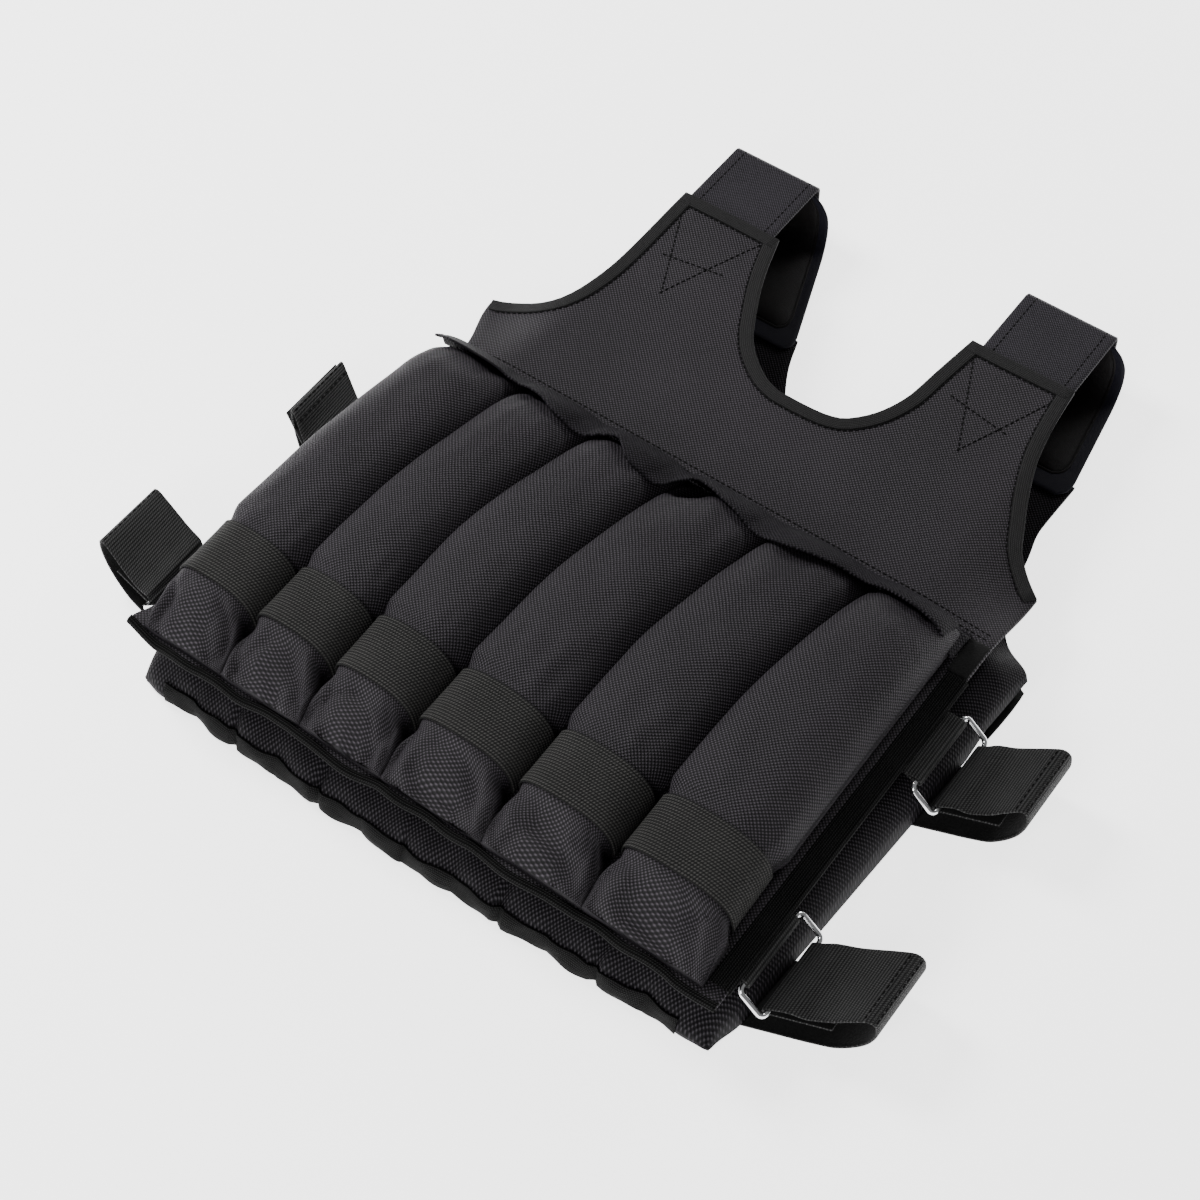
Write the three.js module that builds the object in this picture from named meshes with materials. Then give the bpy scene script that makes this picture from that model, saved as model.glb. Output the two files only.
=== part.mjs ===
// Weighted vest lying on a table: a front panel with six filled pockets on top of a back
// panel with six more, joined by two shoulder straps with pads and by four side straps
// that run through rings. Millimetres, +Z up, +X to the wearer's left, hem towards -Y.
import * as THREE from "three";

// Clearances and cloth
const SEAT = 0.3;
const PANEL_CLOTH = 2.4;
const TAPE_CLOTH = 1.0;
const FLAP_CLOTH = 2.0;
const WEBBING_CLOTH = 1.6;

// Front panel, measured from the hem
const PANEL_WIDTH = 420;
const PANEL_HEIGHT = 491;
const PANEL_SIDE = 348;
const HEM_Y = 7;
const NECK_WIDTH = 152;
const NECK_DEPTH = 109;
const TABS_WIDTH = 304;
const CORNER_DROOP = 16;
const TAB_LIFT = 3;
const TORSO_GAP = 8;
const WAIST_START_Y = 268;
const WAIST_PULL = 18;

// Back panel, which lies under the front one and leans sideways with its height
const BACK_WIDTH = 428;
const BACK_HEIGHT = 470;
const BACK_SIDE = 313;
const BACK_HEM_Y = -2;
const BACK_NECK_WIDTH = 126;
const BACK_NECK_DEPTH = 72;
const BACK_LEAN = 0.055;
const SIDE_ROLL = 24;
const CEILING_SPARE = 0.54;
const HEM_ROLL = 28;
const HEM_PUFF = 2.5;
const HEM_BOW = 6;
const HEM_TAPER = 4;
const YOKE_START_Y = 287;
const YOKE_SLOPE = 56;
const YOKE_CLEARANCE = 0.4;
const FLAP_ROOM = 12;

// Pockets
const POCKET_COUNT = 6;
const POCKET_LENGTH = 272;
const POCKET_START_Y = 16;
const POCKET_GAP = 0.6;
const FRONT_POCKET_HEIGHT = 40;
const BACK_POCKET_HEIGHT = 35;
const FRONT_ROW_WIDTH = 404;
const BACK_ROW_WIDTH = 404;
const POCKET_LEAN = 7;
const GATHER_DEPTH = 4;
const POCKET_SIDES = 12;

// Elastic bands round the lower ends of the pockets
const BAND_WIDTH = 40;
const BAND_Y = 66;
const BAND_CLOTH = 1.4;
const BAND_SQUEEZE = 0.9;

// Flaps, tapes and the closing patch
const FLAP_SEAM_Y = 297;
const FLAP_DEPTH = 36;
const FLAP_OVERHANG = 3;
const BACK_FLAP_SEAM_Y = 304;
const BACK_FLAP_DEPTH = 38;
const TAPE_WIDTH = 9;
const BINDING_WIDTH = 12;
const PATCH_WIDTH = 13;
const PATCH_LENGTH = 28;

// Shoulders
const STRAP_WIDTH = 67;
const STRAP_CENTRE = 116.5;
const STRAP_TUCK = 26;
const STRAP_RETURN = 28;
const FOLD_Y = 561;
const FOLD_RADIUS = 3;
const PAD_WIDTH = 88;
const PAD_THICKNESS = 9;
const PAD_BEND = 18;
const PAD_SHIFT = 3.5;

// Side straps and their rings
const WEBBING_WIDTH = 50;
const STRAP_RISE = 46;
const TAIL_LENGTH = 34;
const RING_LENGTH = 61;
const RING_ACROSS = 22;
const RING_WIRE = 1.75;
const RING_CORNER = 4;
const RING_TILT = THREE.MathUtils.degToRad(42);
const RING_SIDES = 6;

// Heights worked out from the stack: back pockets, back panel, torso gap, front panel
const BACK_LEVEL = BACK_POCKET_HEIGHT + SEAT + PANEL_CLOTH / 2;
const FRONT_LEVEL = BACK_LEVEL + PANEL_CLOTH + TORSO_GAP;
const FRONT_TOP = FRONT_LEVEL + PANEL_CLOTH / 2;
const POCKET_BASE = FRONT_TOP + SEAT;
const FLOOR_LEVEL = YOKE_CLEARANCE + PANEL_CLOTH / 2;
const BACK_EDGE_LEVEL = 2 * SEAT + WEBBING_CLOTH + YOKE_CLEARANCE;
const TAB_TOP_Y = HEM_Y + PANEL_HEIGHT;
const YOKE_TOP_Y = BACK_HEM_Y + BACK_HEIGHT;

// Left and right half of the neckline, which lies a little askew: across as a share of the
// half neck width, down of the neck depth
const NECK_CURVES = {
  left: [
    { across: 0.04, down: 1.0 },
    { across: 0.16, down: 0.975 },
    { across: 0.32, down: 0.91 },
    { across: 0.53, down: 0.77 },
    { across: 0.7, down: 0.56 },
    { across: 0.86, down: 0.31 },
    { across: 1.0, down: 0.0 },
  ],
  right: [
    { across: 0.17, down: 1.0 },
    { across: 0.34, down: 0.995 },
    { across: 0.52, down: 0.97 },
    { across: 0.68, down: 0.88 },
    { across: 0.81, down: 0.74 },
    { across: 0.895, down: 0.56 },
    { across: 0.93, down: 0.37 },
    { across: 1.0, down: 0.0 },
  ],
};

// Armholes: across as a share of tab corner to side, down of tab top to side corner
const ARM_CURVES = {
  left: [
    { across: 0.0, down: 0.0 },
    { across: 0.04, down: 0.5 },
    { across: 0.14, down: 0.76 },
    { across: 0.27, down: 0.88 },
    { across: 0.46, down: 0.94 },
    { across: 0.72, down: 0.97 },
    { across: 1.0, down: 1.0 },
  ],
  right: [
    { across: 0.0, down: 0.0 },
    { across: 0.04, down: 0.18 },
    { across: 0.12, down: 0.39 },
    { across: 0.29, down: 0.6 },
    { across: 0.45, down: 0.74 },
    { across: 0.57, down: 0.84 },
    { across: 0.75, down: 0.92 },
    { across: 1.0, down: 1.0 },
  ],
};

// The back armhole is cut deeper and ends in the side roll
const BACK_ARM_CURVE = [
  { across: 0.0, down: 0.0 },
  { across: 0.02, down: 0.26 },
  { across: 0.13, down: 0.43 },
  { across: 0.25, down: 0.62 },
  { across: 0.42, down: 0.77 },
  { across: 0.62, down: 0.88 },
  { across: 0.75, down: 0.93 },
  { across: 0.88, down: 0.965 },
  { across: 0.96, down: 0.985 },
  { across: 1.0, down: 1.0 },
];

// Seams between the front pockets, as shares of the row width from its left edge, at the
// bottom, at half height and at the top of the row
const FRONT_SEAMS = [
  { low: 0.01, middle: -0.005, top: 0.02 },
  { low: 0.135, middle: 0.145, top: 0.19 },
  { low: 0.285, middle: 0.285, top: 0.345 },
  { low: 0.435, middle: 0.445, top: 0.5 },
  { low: 0.615, middle: 0.62, top: 0.675 },
  { low: 0.79, middle: 0.795, top: 0.84 },
  { low: 0.975, middle: 0.975, top: 0.98 },
];

// Sections along a pocket: along as a share of its length, rise of its height, width of
// its seam spacing, gather of the gather depth
const POCKET_SECTIONS = [
  { along: 0.0, rise: 0.14, width: 0.9, gather: 0.0 },
  { along: 0.03, rise: 0.36, width: 0.95, gather: 0.5 },
  { along: 0.07, rise: 0.58, width: 0.96, gather: 1.0 },
  { along: 0.105, rise: 0.78, width: BAND_SQUEEZE, gather: 0.0 },
  { along: 0.265, rise: 0.9, width: BAND_SQUEEZE, gather: 0.0 },
  { along: 0.31, rise: 0.98, width: 1.0, gather: 0.0 },
  { along: 0.5, rise: 1.0, width: 1.0, gather: 0.0 },
  { along: 0.7, rise: 0.97, width: 1.0, gather: 0.0 },
  { along: 0.86, rise: 0.86, width: 1.0, gather: 0.0 },
  { along: 0.94, rise: 0.6, width: 0.98, gather: 0.3 },
  { along: 1.0, rise: 0.2, width: 0.9, gather: 0.0 },
];

// Lower edge of the front flap: across as a share of the panel width, hang of the depth
const FLAP_WAVES = [
  { across: -0.475, hang: 0.35 },
  { across: -0.43, hang: 0.45 },
  { across: -0.35, hang: 0.45 },
  { across: -0.26, hang: 0.62 },
  { across: -0.22, hang: 0.82 },
  { across: -0.17, hang: 0.86 },
  { across: -0.12, hang: 0.62 },
  { across: -0.07, hang: 1.0 },
  { across: -0.03, hang: 1.0 },
  { across: 0.02, hang: 0.52 },
  { across: 0.08, hang: 0.68 },
  { across: 0.14, hang: 0.86 },
  { across: 0.18, hang: 0.92 },
  { across: 0.24, hang: 0.78 },
  { across: 0.3, hang: 0.6 },
  { across: 0.38, hang: 0.62 },
  { across: 0.465, hang: 0.72 },
];

// A side strap from its sewn end out along the table, up at the fold and back towards the
// ring: out as a share of its reach, up of its rise, sag of the rise lost at the hem side
const STRAP_LOOP = [
  { out: -0.14, up: 0.0, sag: 0.0 },
  { out: 0.1, up: 0.0, sag: 0.0 },
  { out: 0.4, up: 0.0, sag: 0.0 },
  { out: 0.65, up: 0.02, sag: 0.0 },
  { out: 0.82, up: 0.16, sag: 0.0 },
  { out: 0.95, up: 0.42, sag: 0.0 },
  { out: 0.99, up: 0.66, sag: 0.0 },
  { out: 0.975, up: 0.84, sag: 0.0 },
  { out: 0.9, up: 0.94, sag: 0.03 },
  { out: 0.78, up: 0.89, sag: 0.08 },
  { out: 0.62, up: 0.8, sag: 0.14 },
  { out: 0.48, up: 0.73, sag: 0.14 },
  { out: 0.34, up: 0.7, sag: 0.07 },
];

// Side straps: ring bar and reach beyond the back panel's edge, ring and fold y
const SIDE_STRAPS = [
  { name: "left_lower", side: -1, bar: 5.41, reach: 71, ringY: 62, foldY: 72 },
  { name: "left_upper", side: -1, bar: 11.55, reach: 51, ringY: 210, foldY: 223 },
  { name: "right_lower", side: 1, bar: -4.025, reach: 70, ringY: 55, foldY: 76 },
  { name: "right_upper", side: 1, bar: -5.155, reach: 60, ringY: 221, foldY: 239 },
];

// Share along each shoulder pad where a section lies, and its width as a share
const PAD_SECTIONS = [
  { along: 0.0, width: 0.72 },
  { along: 0.05, width: 0.88 },
  { along: 0.13, width: 0.98 },
  { along: 0.24, width: 1.0 },
  { along: 0.36, width: 1.0 },
  { along: 0.48, width: 1.0 },
  { along: 0.68, width: 1.0 },
  { along: 0.88, width: 1.0 },
  { along: 0.96, width: 0.94 },
  { along: 1.0, width: 0.8 },
];
const PAD_COLUMNS = [-0.5, -0.3, 0.0, 0.3, 0.5];

function material(color, roughness, metalness = 0) {
  return new THREE.MeshStandardMaterial({ color, roughness, metalness });
}

const oxford = () => material(0x17151a, 0.72);
const webbing = () => material(0x151515, 0.8);
const elastic = () => material(0x1a1a19, 0.85);
const padCloth = () => material(0x0c0b0e, 0.6);
const hookCloth = () => material(0x0a0a0b, 0.95);
const chrome = () => material(0xd8dadd, 0.18, 1);

const point = (x, y, z) => new THREE.Vector3(x, y, z);
const lerp = THREE.MathUtils.lerp;
const clamp = THREE.MathUtils.clamp;

function smooth(value, from, to) {
  return THREE.MathUtils.smoothstep(value, from, to);
}

function lookUp(rows, key, column, at) {
  let upper = 1;
  while (upper < rows.length - 1 && rows[upper][key] < at) upper += 1;
  const before = rows[upper - 1];
  const after = rows[upper];
  const share = clamp((at - before[key]) / (after[key] - before[key]), 0, 1);
  return lerp(before[column], after[column], share);
}

// Geometry of a closed body whose triangles are turned to face out
function closedBody(points, triangles) {
  let volume = 0;
  for (const [a, b, c] of triangles) {
    volume += points[a].dot(points[b].clone().cross(points[c]));
  }
  const outward = volume > 0 ? triangles : triangles.map(([a, b, c]) => [a, c, b]);
  const geometry = new THREE.BufferGeometry();
  geometry.setAttribute("position", new THREE.Float32BufferAttribute(points.flatMap((p) => p.toArray()), 3));
  geometry.setIndex(outward.flat());
  geometry.computeVertexNormals();
  return geometry;
}

// Cloth wall between two grids of points, closed round its four edges
function wall(upper, lower) {
  const rows = upper.length;
  const columns = upper[0].length;
  const points = [...upper.flat(), ...lower.flat()];
  const under = rows * columns;
  const triangles = [];
  const quad = (a, b, c, d) => triangles.push([a, b, c], [a, c, d]);
  const at = (r, c) => r * columns + c;
  for (let r = 0; r < rows - 1; r += 1) {
    for (let c = 0; c < columns - 1; c += 1) {
      quad(at(r, c), at(r, c + 1), at(r + 1, c + 1), at(r + 1, c));
      triangles.push([under + at(r, c), under + at(r + 1, c + 1), under + at(r, c + 1)]);
      triangles.push([under + at(r, c), under + at(r + 1, c), under + at(r + 1, c + 1)]);
    }
  }
  const rim = [];
  for (let c = 0; c < columns - 1; c += 1) rim.push(at(0, c));
  for (let r = 0; r < rows - 1; r += 1) rim.push(at(r, columns - 1));
  for (let c = columns - 1; c > 0; c -= 1) rim.push(at(rows - 1, c));
  for (let r = rows - 1; r > 0; r -= 1) rim.push(at(r, 0));
  rim.forEach((here, index) => {
    const next = rim[(index + 1) % rim.length];
    quad(next, here, under + here, under + next);
  });
  return closedBody(points, triangles);
}

// Cloth of one thickness, half of it on each side of a grid of middle points
function cloth(middle, thickness) {
  const rows = middle.length;
  const columns = middle[0].length;
  const offset = (half) =>
    middle.map((row, r) =>
      row.map((here, c) => {
        const along = middle[Math.min(r + 1, rows - 1)][c].clone().sub(middle[Math.max(r - 1, 0)][c]);
        const across = row[Math.min(c + 1, columns - 1)].clone().sub(row[Math.max(c - 1, 0)]);
        const normal = across.cross(along).normalize();
        return here.clone().addScaledVector(normal, half);
      })
    );
  return wall(offset(thickness / 2), offset(-thickness / 2));
}

// Body through a list of rings, with flat ends, or joined end to end where it is a hoop
function loft(rings, hoop = false) {
  const sides = rings[0].length;
  const points = rings.flat();
  const triangles = [];
  const spans = hoop ? rings.length : rings.length - 1;
  for (let r = 0; r < spans; r += 1) {
    const next = (r + 1) % rings.length;
    for (let s = 0; s < sides; s += 1) {
      const t = (s + 1) % sides;
      triangles.push([r * sides + s, r * sides + t, next * sides + t]);
      triangles.push([r * sides + s, next * sides + t, next * sides + s]);
    }
  }
  if (!hoop) {
    const last = (rings.length - 1) * sides;
    for (let s = 1; s < sides - 1; s += 1) {
      triangles.push([0, s + 1, s]);
      triangles.push([last, last + s, last + s + 1]);
    }
  }
  return closedBody(points, triangles);
}

function leaned(here) {
  return point(here.x + BACK_LEAN * here.y, here.y, here.z);
}

// Columns of a panel from its left side to its right: x, and the height of its top edge
function panelColumns({ width, neckWidth, tabsWidth, topY, neckDepth, sideY, armCurves }) {
  const half = width / 2;
  const tabOuter = tabsWidth / 2;
  const tabInner = neckWidth / 2;
  const tabMiddles = [1 / 3, 2 / 3];
  const from = (sign, neck, arm) => [
    ...neck.map((row) => ({ x: sign * row.across * tabInner, top: topY - row.down * neckDepth })),
    ...tabMiddles.map((share) => ({ x: sign * lerp(tabInner, tabOuter, share), top: topY })),
    ...arm.map((row) => ({ x: sign * lerp(tabOuter, half, row.across), top: lerp(topY, sideY, row.down) })),
  ];
  const left = from(-1, NECK_CURVES.left, armCurves.left).reverse();
  return [...left, ...from(1, NECK_CURVES.right, armCurves.right)];
}

function frontHeight(x, y) {
  const side = smooth(Math.abs(x), TABS_WIDTH / 2, PANEL_WIDTH / 2);
  const yoke = smooth(y, YOKE_START_Y, HEM_Y + PANEL_SIDE);
  const tab = smooth(y, TAB_TOP_Y - NECK_DEPTH, TAB_TOP_Y);
  return FRONT_LEVEL - CORNER_DROOP * side * yoke + TAB_LIFT * tab * (1 - side);
}

// Where the pull of the flap's seam draws the left side of the front panel in
function waistPull(x, y) {
  const outer = smooth(-x, TABS_WIDTH / 2, PANEL_WIDTH / 2);
  const narrowing = smooth(y, WAIST_START_Y, FLAP_SEAM_Y) - smooth(y, FLAP_SEAM_Y, HEM_Y + PANEL_SIDE);
  return WAIST_PULL * outer * narrowing;
}

function frontPanel() {
  const columns = panelColumns({
    width: PANEL_WIDTH,
    neckWidth: NECK_WIDTH,
    tabsWidth: TABS_WIDTH,
    topY: TAB_TOP_Y,
    neckDepth: NECK_DEPTH,
    sideY: HEM_Y + PANEL_SIDE,
    armCurves: ARM_CURVES,
  });
  const pocketRows = [0, 0.38, 0.76, 1].map((share) => () => lerp(HEM_Y, WAIST_START_Y, share));
  const yokeRows = [0, 0.2, 0.4, 0.6, 0.8, 1].map((share) => (top) => lerp(YOKE_START_Y, top, share));
  const middle = [...pocketRows, ...yokeRows].map((rowY) =>
    columns.map(({ x, top }) => {
      const y = rowY(top);
      return point(x + waistPull(x, y), y, frontHeight(x, y));
    })
  );
  return cloth(middle, PANEL_CLOTH);
}

// Share of its full height that the back panel keeps where it rolls down at side or hem
function rollShare(distance, roll) {
  const turned = clamp(distance / roll, 0, 1);
  return Math.sqrt(1 - turned * turned);
}

// The rolled side stands a little higher where the end of the back flap comes out under it
function backHeight(x, y) {
  const level = lerp(BACK_LEVEL, FLOOR_LEVEL, smooth(y, YOKE_START_Y, YOKE_START_Y + YOKE_SLOPE));
  const flapStart = BACK_FLAP_SEAM_Y - BACK_FLAP_DEPTH;
  const overFlap = smooth(y, flapStart - SIDE_ROLL, flapStart) * (1 - smooth(y, BACK_FLAP_SEAM_Y, YOKE_START_Y + YOKE_SLOPE));
  const edge = Math.min(BACK_EDGE_LEVEL + FLAP_ROOM * overFlap, level);
  const side = rollShare(Math.abs(x) - (BACK_WIDTH / 2 - SIDE_ROLL), SIDE_ROLL);
  const hem = rollShare(BACK_HEM_Y + HEM_ROLL - y, HEM_ROLL);
  return lerp(edge, level, side * hem);
}

// The back hem puffs out between the pocket seams, bows up and tapers in towards its ends
function hemShape(x) {
  const pitch = BACK_ROW_WIDTH / POCKET_COUNT;
  const puff = HEM_PUFF * Math.abs(Math.cos((Math.PI * x) / pitch));
  const end = x / (BACK_WIDTH / 2);
  return { taper: HEM_TAPER * end ** 3, shift: HEM_BOW * end * end - puff };
}

function backPanel() {
  const columns = panelColumns({
    width: BACK_WIDTH,
    neckWidth: BACK_NECK_WIDTH,
    tabsWidth: TABS_WIDTH,
    topY: YOKE_TOP_Y,
    neckDepth: BACK_NECK_DEPTH,
    sideY: BACK_HEM_Y + BACK_SIDE,
    armCurves: { left: BACK_ARM_CURVE, right: BACK_ARM_CURVE },
  });
  const hemSteps = [0, 0.012, 0.04, 0.09, 0.17, 0.28, 0.45, 0.7, 1];
  const yokeSteps = [0, 0.2, 0.4, 0.6, 0.8, 1];
  const column = ({ x, top }) => {
    const hemRows = hemSteps.map((share) => BACK_HEM_Y + share * HEM_ROLL);
    const flatEnd = YOKE_START_Y;
    const slopeEnd = Math.min(YOKE_START_Y + YOKE_SLOPE, lerp(flatEnd, top, 0.9));
    const slopeRows = yokeSteps.map((share) => lerp(flatEnd, slopeEnd, share));
    const topRows = [0.5, 1].map((share) => lerp(slopeEnd, top, share));
    return [...hemRows, ...slopeRows, ...topRows].map((y) => {
      const low = smooth(HEM_ROLL - y, 0, HEM_ROLL);
      const { taper, shift } = hemShape(x);
      return leaned(point(x - taper * low, y + shift * low, backHeight(x, y)));
    });
  };
  const lines = columns.map(column);
  const middle = lines[0].map((unused, r) => lines.map((line) => line[r]));
  return cloth(middle, PANEL_CLOTH);
}

function frontSeam(index, y) {
  const seam = FRONT_SEAMS[index];
  const along = clamp((y - POCKET_START_Y) / POCKET_LENGTH, 0, 1);
  const share = along < 0.5 ? lerp(seam.low, seam.middle, along * 2) : lerp(seam.middle, seam.top, along * 2 - 1);
  return (share - 0.5) * FRONT_ROW_WIDTH;
}

function backSeam(index) {
  return (index / POCKET_COUNT - 0.5) * BACK_ROW_WIDTH;
}

// One point round a pocket's section: turn is an angle, grow stands the point off
function frontPocketPoint(index, along, turn, grow = 0) {
  const y = POCKET_START_Y + along * POCKET_LENGTH;
  const left = frontSeam(index, y);
  const right = frontSeam(index + 1, y);
  const width = lookUp(POCKET_SECTIONS, "along", "width", along);
  const rise = lookUp(POCKET_SECTIONS, "along", "rise", along) * FRONT_POCKET_HEIGHT;
  const gather = lookUp(POCKET_SECTIONS, "along", "gather", along) * GATHER_DEPTH;
  const roundness = 0.82;
  const cosine = Math.cos(turn);
  const sine = Math.sin(turn);
  const across = Math.sign(cosine) * Math.abs(cosine) ** roundness;
  const up = Math.sign(sine) * Math.abs(sine) ** roundness;
  const halfWidth = ((right - left) / 2) * width - POCKET_GAP / 2 + grow;
  const height = Math.max(0, rise * (0.4 + 0.6 * up) + grow * up);
  const fold = gather * Math.cos(3 * turn) ** 2 * Math.max(0, up);
  const x = (left + right) / 2 + across * halfWidth;
  return point(x - (POCKET_LEAN * height) / FRONT_POCKET_HEIGHT, y, POCKET_BASE + height - fold);
}

// Height of the face that the back pockets lie under, where the panel rolls down
function backCeiling(x, y) {
  const rolled = BACK_LEVEL - backHeight(x, y);
  const spare = Math.min(rolled, SIDE_ROLL) * CEILING_SPARE;
  return backHeight(x, y) - PANEL_CLOTH / 2 - SEAT - spare;
}

function backPocketPoint(index, along, turn, grow = 0) {
  const y = POCKET_START_Y + along * POCKET_LENGTH;
  const left = backSeam(index);
  const right = backSeam(index + 1);
  const width = lookUp(POCKET_SECTIONS, "along", "width", along);
  const rise = Math.min(1, lookUp(POCKET_SECTIONS, "along", "rise", along) + 0.04);
  const banded = width <= BAND_SQUEEZE + 0.001 && along > 0.05 && along < 0.5;
  const roundness = 0.6;
  const cosine = Math.cos(turn);
  const sine = Math.sin(turn);
  const across = Math.sign(cosine) * Math.abs(cosine) ** roundness;
  const up = Math.sign(sine) * Math.abs(sine) ** roundness;
  const halfWidth = ((right - left) / 2) * width - POCKET_GAP / 2 + grow;
  const x = (left + right) / 2 + across * halfWidth;
  const ceiling = Math.min(BACK_POCKET_HEIGHT, backCeiling(x, y));
  const bandRoom = BAND_CLOTH + 2 * SEAT;
  const floor = banded ? bandRoom : Math.max(0, (0.9 - rise) * BACK_POCKET_HEIGHT);
  const height = lerp(floor, ceiling, clamp(0.5 + 0.56 * up, 0, 1)) - grow * (up < 0 ? 1 : 0);
  return leaned(point(x, y, height));
}

function pocket(pointAt) {
  const rings = POCKET_SECTIONS.map(({ along }) =>
    Array.from({ length: POCKET_SIDES }, (unused, s) => pointAt(along, ((s + 0.5) / POCKET_SIDES) * 2 * Math.PI))
  );
  return loft(rings);
}

// Elastic band over the points of a pocket's section, on its upper or its lower half
function band(pointAt, half) {
  const edges = [-0.5, 0.5].map((share) => (BAND_Y + share * BAND_WIDTH - POCKET_START_Y) / POCKET_LENGTH);
  const steps = Array.from({ length: POCKET_SIDES / 2 + 2 }, (unused, s) => s - 0.5);
  const layer = (grow) =>
    edges.map((along) => steps.map((step) => pointAt(along, (half * step * 2 * Math.PI) / POCKET_SIDES, grow)));
  return wall(layer(SEAT + BAND_CLOTH), layer(SEAT));
}

// Cloth tape wrapped round an edge, given by its points, directions into the cloth and normals
function wrappedTape(edge, width) {
  const reach = PANEL_CLOTH / 2 + SEAT + TAPE_CLOTH / 2;
  const wrap = [
    { into: width, off: reach },
    { into: 0, off: reach },
    { into: -reach * 0.8, off: reach * 0.5 },
    { into: -reach * 0.8, off: -reach * 0.5 },
    { into: 0, off: -reach },
    { into: width, off: -reach },
  ];
  const middle = edge.map(({ at, inward, normal }) =>
    wrap.map(({ into, off }) => at.clone().addScaledVector(inward, into).addScaledVector(normal, off))
  );
  return cloth(middle, TAPE_CLOTH);
}

function frontHem() {
  const stations = 8;
  const edge = Array.from({ length: stations + 1 }, (unused, s) => {
    const x = (s / stations - 0.5) * PANEL_WIDTH;
    return { at: point(x, HEM_Y, FRONT_LEVEL), inward: point(0, 1, 0), normal: point(0, 0, 1) };
  });
  return wrappedTape(edge, TAPE_WIDTH);
}

function frontBinding(side) {
  const from = HEM_Y + TAPE_WIDTH + TAPE_CLOTH;
  const stations = 4;
  const edge = Array.from({ length: stations + 1 }, (unused, s) => {
    const y = lerp(from, WAIST_START_Y - TAPE_CLOTH, s / stations);
    return { at: point((side * PANEL_WIDTH) / 2, y, FRONT_LEVEL), inward: point(-side, 0, 0), normal: point(0, 0, 1) };
  });
  return wrappedTape(edge, BINDING_WIDTH);
}

// The back hem tape lies along the turned-down hem, inside and out
function backHem() {
  const stations = 24;
  const half = BACK_WIDTH / 2 - SIDE_ROLL;
  const middle = Array.from({ length: stations + 1 }, (unused, s) => {
    const x = (s / stations - 0.5) * 2 * half;
    const front = BACK_HEM_Y + hemShape(x).shift - PANEL_CLOTH / 2 - 2 * SEAT - TAPE_CLOTH;
    const low = BACK_EDGE_LEVEL - SEAT;
    return [point(x, front, low + TAPE_WIDTH), point(x, front, low + TAPE_WIDTH / 2), point(x, front, low)].map(leaned);
  });
  return cloth(middle, TAPE_CLOTH);
}

// The flap slopes up from its seam at the pockets' ends and lies flatter over their tops
function frontFlap() {
  const crest = POCKET_SECTIONS.at(-2);
  const crestDistance = FLAP_SEAM_Y - POCKET_START_Y - crest.along * POCKET_LENGTH;
  const slope = (crest.rise * FRONT_POCKET_HEIGHT) / crestDistance;
  const lift = 2 * SEAT + FLAP_CLOTH;
  const middle = FLAP_WAVES.map(({ across, hang }) => {
    const x = across * (PANEL_WIDTH + FLAP_OVERHANG);
    return [0, 0.25, 0.5, 0.75, 1].map((share) => {
      const distance = share * hang * FLAP_DEPTH;
      const beyond = Math.max(0, distance - crestDistance);
      return point(x, FLAP_SEAM_Y - distance, FRONT_TOP + lift + slope * (distance - 0.4 * beyond));
    });
  });
  return cloth(middle, FLAP_CLOTH);
}

// The back flap hangs from the turned-over panel and is pressed flat under the pocket ends
function backFlap() {
  const stations = 12;
  const lift = YOKE_CLEARANCE + FLAP_CLOTH / 2;
  const fall = [
    { down: 0.0, up: 1.0 },
    { down: 0.1, up: 0.55 },
    { down: 0.3, up: 0.18 },
    { down: 0.6, up: 0.02 },
    { down: 1.0, up: 0.0 },
  ];
  const middle = Array.from({ length: stations + 1 }, (unused, s) => {
    const x = lerp(-BACK_WIDTH / 2 + SIDE_ROLL, BACK_WIDTH / 2 + FLAP_OVERHANG, s / stations);
    const free = (smooth(x, BACK_WIDTH / 2 - SIDE_ROLL, BACK_WIDTH / 2) * FLAP_ROOM) / 3;
    const sewn = backHeight(x, BACK_FLAP_SEAM_Y) - PANEL_CLOTH - 2 * SEAT;
    return fall.map(({ down, up }) =>
      leaned(point(x, BACK_FLAP_SEAM_Y - down * BACK_FLAP_DEPTH, lerp(lift + free, Math.max(sewn, lift + free), up)))
    );
  });
  return cloth(middle, FLAP_CLOTH);
}

function closurePatch() {
  const start = WAIST_START_Y;
  const right = PANEL_WIDTH / 2 - SEAT;
  const lift = PANEL_CLOTH / 2 + TAPE_CLOTH / 2 + SEAT;
  const middle = [0, 0.33, 0.67, 1].map((along) =>
    [0, 0.5, 1].map((across) => {
      const x = right - across * PATCH_WIDTH;
      const y = start + along * PATCH_LENGTH;
      return point(x, y, frontHeight(x, y) + lift);
    })
  );
  return cloth(middle, TAPE_CLOTH);
}

// Strap from under the front tab, over the fold and down behind the pad
function shoulderStrap(side) {
  const level = FRONT_LEVEL + TAB_LIFT - PANEL_CLOTH - 2 * SEAT;
  const far = FOLD_Y - PANEL_CLOTH / 2;
  const bend = far - FOLD_RADIUS;
  const path = [
    { y: TAB_TOP_Y - STRAP_TUCK, z: level - TAB_LIFT * 0.3 },
    { y: TAB_TOP_Y, z: level },
    { y: lerp(TAB_TOP_Y, bend, 0.5), z: level },
    { y: bend, z: level },
    { y: bend + FOLD_RADIUS * 0.7, z: level - FOLD_RADIUS * 0.3 },
    { y: far, z: level - FOLD_RADIUS },
    { y: far, z: level - FOLD_RADIUS - STRAP_RETURN / 2 },
    { y: far, z: level - FOLD_RADIUS - STRAP_RETURN },
  ];
  const middle = path.map(({ y, z }) =>
    [-0.5, 0, 0.5].map((share) => point(side * STRAP_CENTRE + share * STRAP_WIDTH, y, z))
  );
  return cloth(middle, PANEL_CLOTH);
}

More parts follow.
